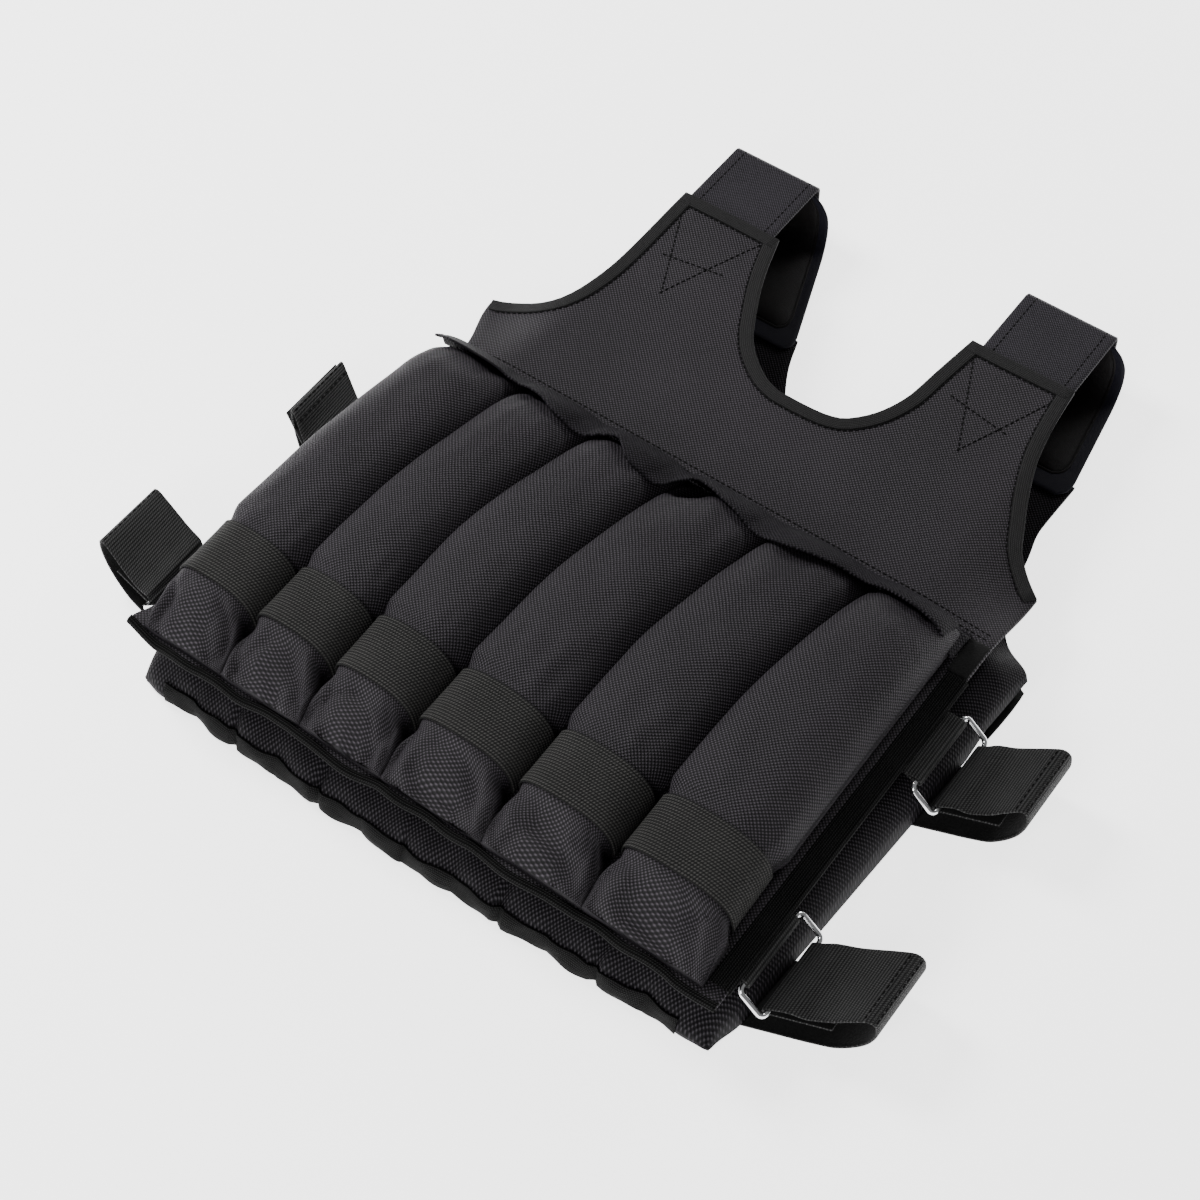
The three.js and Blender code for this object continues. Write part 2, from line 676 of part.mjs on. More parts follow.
// Pad that stands inside the fold, bends onto the table and runs to the back yoke
function shoulderPad(side) {
  const top = FRONT_LEVEL + TAB_LIFT - 1.5 * PANEL_CLOTH - 3 * SEAT - FOLD_RADIUS / 2;
  const standY = FOLD_Y - PANEL_CLOTH - SEAT - PAD_THICKNESS / 2;
  const lieZ = PAD_THICKNESS / 2;
  const standLength = top - lieZ - PAD_BEND;
  const bendLength = (PAD_BEND * Math.PI) / 2;
  const endY = YOKE_TOP_Y + SEAT;
  const total = standLength + bendLength + (standY - PAD_BEND - endY);
  const route = (distance) => {
    if (distance < standLength) return { y: standY, z: top - distance };
    const angle = (distance - standLength) / PAD_BEND;
    if (angle < Math.PI / 2) {
      return { y: standY - PAD_BEND * (1 - Math.cos(angle)), z: lieZ + PAD_BEND * (1 - Math.sin(angle)) };
    }
    return { y: standY - PAD_BEND - (distance - standLength - bendLength), z: lieZ };
  };
  const yokeCentre = side * (TABS_WIDTH + BACK_NECK_WIDTH) * 0.25 + BACK_LEAN * endY;
  const middle = PAD_SECTIONS.map(({ along, width }) => {
    const { y, z } = route(along * total);
    const centre = lerp(side * STRAP_CENTRE + PAD_SHIFT, yokeCentre, (standY - y) / (standY - endY));
    return PAD_COLUMNS.map((share) => point(centre + share * width * PAD_WIDTH, y, z));
  });
  return cloth(middle, PAD_THICKNESS);
}

// Places that a side strap, its ring and its tab share, in a frame whose x points outwards
function backEdge(strap) {
  return BACK_WIDTH / 2 + strap.side * BACK_LEAN * strap.ringY;
}

function ringSeat(strap) {
  const innerX = backEdge(strap) + strap.bar;
  const innerZ = FRONT_LEVEL - PANEL_CLOTH / 2 - TAPE_CLOTH - WEBBING_CLOTH - 3 * SEAT - RING_WIRE;
  return {
    inner: { x: innerX, z: innerZ },
    outer: { x: innerX + RING_ACROSS * Math.cos(RING_TILT), z: innerZ - RING_ACROSS * Math.sin(RING_TILT) },
  };
}

function ring(strap) {
  const seat = ringSeat(strap);
  const halfLong = RING_LENGTH / 2 - RING_CORNER;
  const halfAcross = RING_ACROSS / 2 - RING_CORNER;
  const cornerSteps = 4;
  const centres = [
    { along: halfLong, across: halfAcross, from: 0 },
    { along: -halfLong, across: halfAcross, from: 90 },
    { along: -halfLong, across: -halfAcross, from: 180 },
    { along: halfLong, across: -halfAcross, from: 270 },
  ];
  const outward = point(strap.side * Math.cos(RING_TILT), 0, -Math.sin(RING_TILT));
  const middle = point(
    (strap.side * (seat.inner.x + seat.outer.x)) / 2,
    strap.ringY,
    (seat.inner.z + seat.outer.z) / 2
  );
  const facing = point(strap.side * Math.sin(RING_TILT), 0, Math.cos(RING_TILT));
  const rings = centres.flatMap(({ along, across, from }) =>
    Array.from({ length: cornerSteps }, (unused, step) => {
      const angle = THREE.MathUtils.degToRad(from + (90 * step) / (cornerSteps - 1));
      const radial = point(0, Math.cos(angle), 0).addScaledVector(outward, Math.sin(angle));
      const centre = middle
        .clone()
        .add(point(0, along, 0))
        .addScaledVector(outward, across)
        .addScaledVector(radial, RING_CORNER);
      return Array.from({ length: RING_SIDES }, (alsoUnused, side) => {
        const turn = (side / RING_SIDES) * 2 * Math.PI;
        return centre
          .clone()
          .addScaledVector(radial, RING_WIRE * Math.cos(turn))
          .addScaledVector(facing, RING_WIRE * Math.sin(turn));
      });
    })
  );
  return loft(rings, true);
}

// Points round a ring bar that webbing is folded over, from one angle to another in degrees
function roundBar(bar, from, to) {
  const radius = RING_WIRE + SEAT + WEBBING_CLOTH / 2;
  const steps = 5;
  return Array.from({ length: steps + 1 }, (unused, step) => {
    const angle = THREE.MathUtils.degToRad(lerp(from, to, step / steps));
    return { x: bar.x + radius * Math.cos(angle), z: bar.z + radius * Math.sin(angle) };
  });
}

// Short webbing tab folded round the ring's inner bar and sewn under the panel's side
function ringTab(strap) {
  const { inner } = ringSeat(strap);
  const upperZ = inner.z + RING_WIRE + SEAT + WEBBING_CLOTH / 2;
  const lowerZ = upperZ - WEBBING_CLOTH - SEAT;
  const root = Math.min(PANEL_WIDTH / 2, inner.x) - BINDING_WIDTH;
  const path = [
    { x: root, z: upperZ },
    ...roundBar(inner, 90, -135),
    { x: inner.x - 4 * RING_WIRE, z: lowerZ },
    { x: root, z: lowerZ },
  ];
  const middle = path.map(({ x, z }) =>
    [-0.5, 0.5].map((share) => point(strap.side * x, strap.ringY + share * WEBBING_WIDTH, z))
  );
  return cloth(middle, WEBBING_CLOTH);
}

// Side strap: sewn under the back panel's edge, out, up, back through the ring and under
function sideStrap(strap) {
  const { outer } = ringSeat(strap);
  const edge = backEdge(strap);
  const low = YOKE_CLEARANCE + WEBBING_CLOTH / 2;
  const loop = STRAP_LOOP.map(({ out, up, sag }) => ({
    x: edge + out * strap.reach,
    z: low + up * STRAP_RISE,
    sag: sag * STRAP_RISE,
  }));
  const wrap = roundBar(outer, 80, 280).map(({ x, z }) => ({ x, z, sag: 0 }));
  const below = outer.z - RING_WIRE - SEAT - WEBBING_CLOTH / 2;
  const tail = [0.5, 1].map((share) => ({ x: outer.x + share * TAIL_LENGTH, z: below + share, sag: share }));
  const path = [...loop, ...wrap, ...tail];
  const foldX = edge + strap.reach;
  const skew = (strap.foldY - strap.ringY) / (foldX - outer.x);
  const middle = path.map(({ x, z, sag }) =>
    [-0.5, 0, 0.5].map((share) => {
      const y = strap.foldY + share * WEBBING_WIDTH - skew * (foldX - x);
      return point(strap.side * x, y, z - sag * (0.5 - share));
    })
  );
  return cloth(middle, WEBBING_CLOTH);
}

const vest = new THREE.Group();

function add(name, geometry, look) {
  const mesh = new THREE.Mesh(geometry, look);
  mesh.name = name;
  vest.add(mesh);
}

add("front_panel", frontPanel(), oxford());
add("back_panel", backPanel(), oxford());
for (let index = 0; index < POCKET_COUNT; index += 1) {
  const front = (along, turn, grow) => frontPocketPoint(index, along, turn, grow);
  const back = (along, turn, grow) => backPocketPoint(index, along, turn, grow);
  add(`front_pocket_${index + 1}`, pocket(front), oxford());
  add(`back_pocket_${index + 1}`, pocket(back), oxford());
  add(`front_band_${index + 1}`, band(front, 1), elastic());
  add(`back_band_${index + 1}`, band(back, -1), elastic());
}
add("front_flap", frontFlap(), oxford());
add("back_flap", backFlap(), hookCloth());
add("front_hem_tape", frontHem(), webbing());
add("back_hem_tape", backHem(), webbing());
add("closure_patch", closurePatch(), hookCloth());
for (const [name, side] of [["left", -1], ["right", 1]]) {
  add(`front_binding_${name}`, frontBinding(side), webbing());
  add(`shoulder_strap_${name}`, shoulderStrap(side), oxford());
  add(`shoulder_pad_${name}`, shoulderPad(side), padCloth());
}
for (const strap of SIDE_STRAPS) {
  add(`side_strap_${strap.name}`, sideStrap(strap), webbing());
  add(`ring_${strap.name}`, ring(strap), chrome());
  add(`ring_tab_${strap.name}`, ringTab(strap), webbing());
}

// The origin is the middle of the vest's footprint, on the table
const bounds = new THREE.Box3().setFromObject(vest);
const centre = bounds.getCenter(new THREE.Vector3());
vest.position.set(-centre.x, -centre.y, -bounds.min.z);

const group = new THREE.Group();
group.add(vest);

export default group;
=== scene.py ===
import math

import bpy
import bmesh
import numpy as np
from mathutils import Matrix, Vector, noise


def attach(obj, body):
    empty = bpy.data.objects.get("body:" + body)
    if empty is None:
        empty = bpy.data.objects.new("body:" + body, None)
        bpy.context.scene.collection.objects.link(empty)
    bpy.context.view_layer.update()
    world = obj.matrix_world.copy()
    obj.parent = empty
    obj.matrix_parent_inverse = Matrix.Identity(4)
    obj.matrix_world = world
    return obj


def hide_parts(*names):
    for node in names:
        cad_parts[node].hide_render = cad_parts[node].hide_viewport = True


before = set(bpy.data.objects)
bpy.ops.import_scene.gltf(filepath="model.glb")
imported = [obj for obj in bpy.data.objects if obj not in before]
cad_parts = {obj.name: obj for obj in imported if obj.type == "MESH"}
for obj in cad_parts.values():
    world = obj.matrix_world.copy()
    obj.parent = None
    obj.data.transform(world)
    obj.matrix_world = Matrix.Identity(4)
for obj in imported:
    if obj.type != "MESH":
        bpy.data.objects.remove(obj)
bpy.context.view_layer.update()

bl_info = {
    "name": "Weighted vest",
    "version": (1, 0),
    "blender": (4, 5, 0),
    "location": "View3D > Sidebar > Vest",
    "description": "Cloth, straps, rings and stitches of a weighted vest on its packed frame",
    "category": "Add Mesh",
}

# Lengths are in millimetres from the front hem and the vest's centreline, as in the source.
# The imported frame's origin is shifted from there by these two lengths.
SHIFT_X = -2.7225
SHIFT_Y = -276.6
MM = 0.001

SEAT = 0.3
PANEL_CLOTH = 2.4
TAPE_CLOTH = 1.0
FLAP_CLOTH = 2.0
FLAP_EDGE = 1.5
WEBBING_CLOTH = 1.6

PANEL_WIDTH = 420.0
PANEL_HEIGHT = 491.0
PANEL_SIDE = 348.0
HEM_Y = 7.0
NECK_WIDTH = 152.0
NECK_DEPTH = 109.0
TABS_WIDTH = 304.0
CORNER_DROOP = 16.0
TAB_LIFT = 3.0
TORSO_GAP = 8.0
WAIST_START_Y = 268.0
WAIST_PULL = 18.0
YOKE_SWELL = 0.55
SWELL_START = 8.0
SWELL_FULL = 50.0

BACK_WIDTH = 428.0
BACK_HEIGHT = 470.0
BACK_SIDE = 313.0
BACK_HEM_Y = -2.0
BACK_NECK_WIDTH = 126.0
BACK_NECK_DEPTH = 72.0
BACK_LEAN = 0.055
SIDE_ROLL = 24.0
HEM_ROLL = 28.0
HEM_PUFF = 2.5
QUILT_HALF = 2.6
QUILT_DEPTH = 4.0
HEM_BOW = 6.0
HEM_TAPER = 4.0
YOKE_START_Y = 287.0
YOKE_SLOPE = 56.0
YOKE_CLEARANCE = 0.4
FLAP_ROOM = 12.0
CEILING_SPARE = 0.54

POCKET_COUNT = 6
POCKET_LENGTH = 272.0
POCKET_START_Y = 16.0
POCKET_GAP = 0.6
FRONT_POCKET_HEIGHT = 40.0
BACK_POCKET_HEIGHT = 35.0
FRONT_ROW_WIDTH = 404.0
BACK_ROW_WIDTH = 404.0
POCKET_LEAN = 7.0
GATHER_DEPTH = 4.0
TOE_REACH = 5.5
PINCH_DEPTH = 3.5
MOUTH_POCKET = 3
MOUTH_DEPTH = 11.0
LIP_HEIGHT = 2.5
PLEAT_DEPTH = 3.0
MOST_FOLD = 0.6
WRINKLE_SIZE = 9.0
WRINKLE_STRETCH = (1.0, 0.35, 1.0)
DENT_SIZE = 34.0

BAND_WIDTH = 40.0
BAND_Y = 66.0
BAND_CLOTH = 1.4
BAND_SQUEEZE = 0.9
BAND_WRAP = math.radians(15)
BAND_END_GAP = math.radians(2)

FLAP_SEAM_Y = 297.0
FLAP_DEPTH = 36.0
FLAP_OVERHANG = 3.0
FLAP_STAND = 1.2
FLAP_CURL = 1.2
BACK_FLAP_SEAM_Y = 304.0
BACK_FLAP_DEPTH = 38.0
TAPE_WIDTH = 9.0
HEM_WIDTH = 2.6
HEM_TIP = 9.0
HEM_CORNER = 16.0
HEM_CORNER_BACK = 3.0
HEM_CORNER_LIFT = 4.0
HEM_SCALLOP = 1.6
HEM_SCALLOP_SHIFT = 8
HEM_STEPS = (0, 2, 5, 9, 14)
HEM_LOOSE = (5, 40)
HEM_RUFFLED = (2, 16)
HEM_TAPE_ROWS = 4
BINDING_WIDTH = 12.0
EDGING_CLOTH = 0.8
EDGING_INSETS = (-0.2, 2.0, 4.5, 7.0, 9.0)
PATCH_WIDTH = 13.0
PATCH_LENGTH = 28.0

STRAP_WIDTH = 67.0
STRAP_CENTRE = 116.5
STRAP_TUCK = 26.0
STRAP_RETURN = 28.0
FOLD_Y = 561.0
FOLD_RADIUS = 3.0
PAD_WIDTH = 88.0
PAD_THICKNESS = 9.0
PAD_BEND = 18.0
PAD_SHIFT = 3.5
PAD_OVERLAP = 14.0
PAD_RIM = 0.8
FLANGE_WIDTH = 8.5
FLANGE_INSET = 0.6
FLANGE_CLOTH = 1.2
PIPING_RADIUS = 1.3

WEBBING_WIDTH = 50.0
STRAP_RISE = 46.0
TAIL_LENGTH = 34.0
RING_LENGTH = 61.0
RING_ACROSS = 22.0
RING_WIRE = 1.75
RING_CORNER = 4.0
RING_TILT = math.radians(42)

LIFT = 0.1
STITCH_LIFT = 0.3
FLAP_STITCH_OFFSETS = (4, 9)
FLAP_STITCH_ENDS = (-192, 203)
BINDING_STITCH_INSETS = (3.0, 9.0)
SHOULDER_STITCH_COLUMNS = (2, -3)
STRAP_STITCH_ROWS = (45, 48)

# Grid rows along which the flat widths are measured
FRONT_WIDTH_ROW = 8
BACK_WIDTH_ROW = 16
FLANGE_WIDTH_ROW = 20

WORLD_STRENGTH = 0.2
FLOOR_GLOW = 2.5
FLOOR_REACH = 6.0
SENSOR_WIDTH = 36.0
# Soft lights: (name, place, size, power)
LIGHTS = [
    ("key", (-1.5, 0.1, 1.4), 0.7, 46.0), ("fill", (0.3, 1.7, 0.9), 0.6, 14.0),
    ("front", (0.1, -1.5, 1.0), 0.6, 14.0),
]
SIDES = (("left", -1), ("right", 1))

BACK_LEVEL = BACK_POCKET_HEIGHT + SEAT + PANEL_CLOTH / 2
FRONT_LEVEL = BACK_LEVEL + PANEL_CLOTH + TORSO_GAP
FRONT_TOP = FRONT_LEVEL + PANEL_CLOTH / 2
POCKET_BASE = FRONT_TOP + SEAT
FLOOR_LEVEL = YOKE_CLEARANCE + PANEL_CLOTH / 2
BACK_EDGE_LEVEL = 2 * SEAT + WEBBING_CLOTH + YOKE_CLEARANCE
TAB_TOP_Y = HEM_Y + PANEL_HEIGHT
YOKE_TOP_Y = BACK_HEM_Y + BACK_HEIGHT

# Neckline halves: (across, down) as shares of half the neck's width and of its depth
NECK_CURVES = {
    "left": [(0.04, 1.0), (0.16, 0.975), (0.32, 0.91), (0.53, 0.77), (0.7, 0.56), (0.86, 0.31), (1.0, 0.0)],
    "right": [(0.17, 1.0), (0.34, 0.995), (0.52, 0.97), (0.68, 0.88), (0.81, 0.74), (0.895, 0.56),
              (0.93, 0.37), (1.0, 0.0)],
}
# Armholes: (across, down) as shares from the tab's corner to the side's corner
ARM_CURVES = {
    "left": [(0.0, 0.0), (0.04, 0.5), (0.14, 0.76), (0.27, 0.88), (0.46, 0.94), (0.72, 0.97), (1.0, 1.0)],
    "right": [(0.0, 0.0), (0.04, 0.18), (0.12, 0.39), (0.29, 0.6), (0.45, 0.74), (0.57, 0.84), (0.75, 0.92),
              (1.0, 1.0)],
}
BACK_ARM_CURVE = [(0.0, 0.0), (0.02, 0.26), (0.13, 0.43), (0.25, 0.62), (0.42, 0.77), (0.62, 0.88),
                  (0.75, 0.93), (0.88, 0.965), (0.96, 0.985), (1.0, 1.0)]
# Seams between the front pockets: (low, middle, top) as shares of the row's width
FRONT_SEAMS = [(-0.014, -0.005, 0.02), (0.135, 0.145, 0.19), (0.285, 0.285, 0.345), (0.435, 0.445, 0.5),
               (0.615, 0.62, 0.675), (0.79, 0.795, 0.84), (0.992, 0.988, 0.985)]
# Along a pocket: (along, rise, width), shares of its length, height and seam spacing
POCKET_SECTIONS = [
    (0.0, 0.14, 0.97), (0.03, 0.34, 1.0), (0.07, 0.58, 0.98), (0.105, 0.78, BAND_SQUEEZE),
    (0.265, 0.9, BAND_SQUEEZE), (0.31, 0.98, 1.0), (0.5, 1.0, 1.0), (0.7, 0.97, 1.0),
    (0.86, 0.92, 1.0), (0.94, 0.76, 0.99), (1.0, 0.4, 0.95),
]
# Lower edge of the front flap: (across, hang), shares of the panel's width and the flap's depth
FLAP_WAVES = [
    (-0.475, 0.35), (-0.43, 0.45), (-0.35, 0.45), (-0.26, 0.62), (-0.22, 0.82), (-0.17, 0.86), (-0.12, 0.62),
    (-0.07, 1.0), (-0.03, 1.0), (0.02, 0.52), (0.08, 0.68), (0.14, 0.86), (0.18, 0.92), (0.24, 0.78),
    (0.3, 0.6), (0.38, 0.62), (0.465, 0.72),
]
# A side strap: (out, up, sag), shares of its reach and rise
STRAP_LOOP = [
    (-0.14, 0.0, 0.0), (0.1, 0.0, 0.0), (0.4, 0.0, 0.0), (0.65, 0.02, 0.0), (0.82, 0.16, 0.0),
    (0.95, 0.42, 0.0), (0.99, 0.66, 0.0), (0.975, 0.84, 0.0), (0.9, 0.94, 0.03), (0.78, 0.89, 0.08),
    (0.62, 0.8, 0.14), (0.48, 0.73, 0.14), (0.34, 0.7, 0.07),
]
# Side straps: (name, side, bar, reach, ring_y, fold_y)
SIDE_STRAPS = [
    ("left_lower", -1, 6, 71, 62, 72), ("left_upper", -1, 4, 51, 210, 223),
    ("right_lower", 1, 3, 70, 55, 76), ("right_upper", 1, 11, 60, 221, 239),
]
# Ripples of the front hem, along the cloth and upwards: (height, length, start) of each wave
HEM_WAVES = {
    "along": [(1.1, 19.0, 1.0), (0.6, 6.3, 0.0)],
    "up": [(0.8, 13.0, 2.0), (0.4, 4.9, 0.0)],
}
# Reinforcing stitches on a shoulder tab: (across from its middle, down) at each line's ends
TAB_STITCHES = [((-30, 12), (1, 82)), ((1, 82), (31, 14)), ((-24, 48), (18, 54))]
# Shoulder pad: (along, width) as shares of its length and full width
PAD_SECTIONS = [(0.0, 0.72), (0.05, 0.88), (0.13, 0.98), (0.24, 1.0), (0.68, 1.0), (0.88, 1.0), (0.96, 0.94),
                (1.0, 0.8)]


# Small tools for numbers and curves

def lerp(a, b, t):
    return a + (b - a) * t


def smooth(value, low, high):
    t = np.clip((value - low) / (high - low), 0, 1)
    return t * t * (3 - 2 * t)


def eased(keys, values, at):
    """Values between table rows on a smooth curve that never overshoots them."""
    keys = np.asarray(keys, float)
    values = np.asarray(values, float)
    steps = np.diff(keys)
    slopes = np.diff(values) / steps
    tangents = np.zeros(len(keys))
    for i in range(1, len(keys) - 1):
        if slopes[i - 1] * slopes[i] > 0:
            first = 2 * steps[i] + steps[i - 1]
            second = steps[i] + 2 * steps[i - 1]
            tangents[i] = (first + second) / (first / slopes[i - 1] + second / slopes[i])
    tangents[0] = slopes[0]
    tangents[-1] = slopes[-1]
    at = np.clip(np.asarray(at, float), keys[0], keys[-1])
    spot = np.clip(np.searchsorted(keys, at, side="right") - 1, 0, len(keys) - 2)
    h = steps[spot]
    t = (at - keys[spot]) / h
    a = values[spot] * (2 * t**3 - 3 * t**2 + 1) + values[spot + 1] * (3 * t**2 - 2 * t**3)
    b = tangents[spot] * h * (t**3 - 2 * t**2 + t) + tangents[spot + 1] * h * (t**3 - t**2)
    return a + b


def eased_table(rows, column, at):
    return eased([row[0] for row in rows], [row[column] for row in rows], at)


def smooth_path(points, count):
    """Points spread evenly along a smooth curve through the given ones."""
    points = np.asarray(points, float)
    gaps = np.linalg.norm(np.diff(points, axis=0), axis=1)
    along = np.concatenate([[0], np.cumsum(np.maximum(gaps, 1e-6))])
    at = np.linspace(0, along[-1], count)
    return np.stack([eased(along, points[:, k], at) for k in range(points.shape[1])], axis=1)


def waves(rows, at):
    return sum(height * np.sin(at / length + start) for height, length, start in rows)


def points_at(x, y, z):
    """Points from lengths, each one number or a whole row or grid of them."""
    return np.stack(np.broadcast_arrays(x, y, z), axis=-1)


def hash_noise(points, size, seed):
    """Smooth noise from -1 to 1 at each point, with features of the given size in mm."""
    flat = points.reshape(-1, 3) / size + seed * 17.3
    values = np.array([noise.noise(Vector(p)) for p in flat])
    return values.reshape(points.shape[:-1])


# Meshes

def surface_normals(grid):
    along = np.gradient(grid, axis=0)
    across = np.gradient(grid, axis=1)
    normal = np.cross(across, along)
    length = np.maximum(np.linalg.norm(normal, axis=2, keepdims=True), 1e-9)
    return normal / length


def grid_lengths(grid):
    """Lengths in metres along the rows and down the columns, for the cloth's own map."""
    across = np.linalg.norm(np.diff(grid, axis=1), axis=2).mean(axis=0)
    along = np.linalg.norm(np.diff(grid, axis=0), axis=2).mean(axis=1)
    u = np.concatenate([[0], np.cumsum(across)]) * MM
    v = np.concatenate([[0], np.cumsum(along)]) * MM
    return u, v


def new_piece(name, points, faces, material, corner_map):
    points = np.asarray(points, float)
    placed = (points + np.array([SHIFT_X, SHIFT_Y, 0.0])) * MM
    mesh = bpy.data.meshes.new(name)
    mesh.from_pydata(placed.tolist(), [], faces)
    layer = mesh.uv_layers.new(name="cloth")
    coords = np.array([corner_map[index] for face in faces for index in face], float)
    layer.data.foreach_set("uv", coords.reshape(-1))
    body = bmesh.new()
    body.from_mesh(mesh)
    bmesh.ops.recalc_face_normals(body, faces=body.faces)
    body.to_mesh(mesh)
    body.free()
    mesh.polygons.foreach_set("use_smooth", [True] * len(mesh.polygons))
    mesh.materials.append(material)
    piece = bpy.data.objects.new(name, mesh)
    bpy.context.collection.objects.link(piece)
    return piece


def both_faces(rows, columns):
    """Quads of a grid's upper points and, turned over, of the lower points that follow them."""
    under = rows * columns
    faces = []
    for r in range(rows - 1):
        for c in range(columns - 1):
            a = r * columns + c
            faces.append((a, a + 1, a + columns + 1, a + columns))
            faces.append((under + a, under + a + columns, under + a + columns + 1, under + a + 1))
    return faces


def rim_of(rows, columns):
    """Rows and columns of a grid's rim, once round."""
    rim = [(0, c) for c in range(columns - 1)]
    rim += [(r, columns - 1) for r in range(rows - 1)]
    rim += [(rows - 1, c) for c in range(columns - 1, 0, -1)]
    return rim + [(r, 0) for r in range(rows - 1, 0, -1)]


def slab(name, grid, thickness, material, turned=False, level=False, pile=None, pile_above=False):
    """Cloth of one thickness round a grid of middle points, with a rounded rim. Its map runs
    along the grid, turned a quarter where asked, or straight down on a level panel. One face
    can be covered with pile."""
    rows, columns = grid.shape[:2]
    normals = surface_normals(grid)
    half = thickness / 2
    upper = (grid + normals * half).reshape(-1, 3)
    lower = (grid - normals * half).reshape(-1, 3)
    rim = rim_of(rows, columns)
    edge = []
    for r, c in rim:
        inner = grid[min(max(r, 1), rows - 2), min(max(c, 1), columns - 2)]
        out = grid[r, c] - inner
        out = out / max(np.linalg.norm(out), 1e-9)
        edge.append(grid[r, c] + out * thickness * 0.3)
    points = np.concatenate([upper, lower, np.array(edge)])
    under = rows * columns
    mid = 2 * under
    faces = both_faces(rows, columns)
    count = len(rim)
    for i, (r, c) in enumerate(rim):
        nr, nc = rim[(i + 1) % count]
        here = r * columns + c
        there = nr * columns + nc
        faces.append((here, mid + i, mid + (i + 1) % count, there))
        faces.append((mid + i, under + here, under + there, mid + (i + 1) % count))
    u, v = grid_lengths(grid)
    if level:
        flat = [(x * MM, y * MM) for x, y in grid[..., :2].reshape(-1, 2)]
    elif turned:
        flat = [(v[r], u[c]) for r in range(rows) for c in range(columns)]
    else:
        flat = [(u[c], v[r]) for r in range(rows) for c in range(columns)]
    corner_map = flat + flat + [flat[r * columns + c] for r, c in rim]
    piece = new_piece(name, points, faces, material, corner_map)
    if pile is not None:
        piece.data.materials.append(pile)
        first = 0 if pile_above else 1
        for index in range(first, 2 * (rows - 1) * (columns - 1), 2):
            piece.data.polygons[index].material_index = 1
    return piece


def loft(name, rings, material, hoop=False):
    """Closed body through rings of points, its ends closed with a fan round a middle point."""
    count, sides = rings.shape[:2]
    points = rings.reshape(-1, 3)
    faces = []
    for r in range(count if hoop else count - 1):
        after = (r + 1) % count
        for s in range(sides):
            t = (s + 1) % sides
            faces.append((r * sides + s, r * sides + t, after * sides + t, after * sides + s))
    around = np.linalg.norm(rings - np.roll(rings, -1, axis=1), axis=2).mean(axis=0)
    u = np.concatenate([[0], np.cumsum(around)[:-1]]) * MM
    along = np.linalg.norm(np.diff(rings, axis=0), axis=2).mean(axis=1)
    v = np.concatenate([[0], np.cumsum(along)]) * MM
    corner_map = [(u[s], v[r]) for r in range(count) for s in range(sides)]
    if not hoop:
        points = np.concatenate([points, rings[0].mean(axis=0)[None], rings[-1].mean(axis=0)[None]])
        first = count * sides
        last = (count - 1) * sides
        for s in range(sides):
            t = (s + 1) % sides
            faces.append((first, t, s))
            faces.append((first + 1, last + s, last + t))
        corner_map += [(0.0, v[0]), (0.0, v[-1])]
    return new_piece(name, points, faces, material, corner_map)


def tube_along(name, path, radius, material, sides=8):
    """Round cord of one radius along a closed or open path."""
    path = np.asarray(path, float)
    tangents = np.gradient(path, axis=0)
    tangents /= np.maximum(np.linalg.norm(tangents, axis=1, keepdims=True), 1e-9)
    up = np.array([0.0, 0.0, 1.0])
    rings = []
    for here, tangent in zip(path, tangents):
        side = np.cross(tangent, up)
        if np.linalg.norm(side) < 0.2:
            side = np.cross(tangent, np.array([1.0, 0.0, 0.0]))
        side /= np.linalg.norm(side)
        other = np.cross(side, tangent)
        turn = np.linspace(0, 2 * math.pi, sides, endpoint=False)
        rings.append(here + radius * (np.cos(turn)[:, None] * side + np.sin(turn)[:, None] * other))
    return loft(name, np.array(rings), material)


def sheet_facts(grid, row=0):
    """Works out the flat width, length and area of a sheet's grid, its width taken along one row; nothing
    more is done with them.
    """
    width = np.linalg.norm(np.diff(grid[row], axis=0), axis=1).sum() * MM
    length = np.linalg.norm(np.diff(grid, axis=0), axis=2).sum(axis=0).max() * MM
    a = np.cross(grid[1:, :-1] - grid[:-1, :-1], grid[:-1, 1:] - grid[:-1, :-1])
    b = np.cross(grid[1:, :-1] - grid[1:, 1:], grid[:-1, 1:] - grid[1:, 1:])
    area = 0.5 * (np.linalg.norm(a, axis=2).sum() + np.linalg.norm(b, axis=2).sum()) * MM * MM
    area = min(max(area, 0.3 * width * length), width * length)


def finish_piece(piece, node):
    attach(piece, "root")
    if node:
        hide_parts(node)


def add_cloth(name, grid, thickness, look, node, slot, held=None, rests_on=(), row=0, **shape):
    """One piece of cloth on its grid; where it says how it is held, its flat size is worked out."""
    piece = slab(name, grid, thickness, looks()[look], **shape)
    finish_piece(piece, node)
    if held:
        sheet_facts(grid, row)


# Materials

class Wire:
    """A shader value that can be written in sums and products."""

    def __init__(self, maker, socket):
        self.maker = maker
        self.socket = socket

    def math(self, operation, other=None):
        inputs = {0: self} if other is None else {0: self, 1: other}
        return self.maker.node("ShaderNodeMath", {"operation": operation}, inputs)

    def __add__(self, other):
        return self.math("ADD", other)

    def __radd__(self, other):
        return self.math("ADD", other)

    def __sub__(self, other):
        return self.math("SUBTRACT", other)

    def __mul__(self, other):
        return self.math("MULTIPLY", other)

    def sine(self):
        return self.math("SINE")

    def absolute(self):
        return self.math("ABSOLUTE")

    def power(self, exponent):
        return self.math("POWER", exponent)


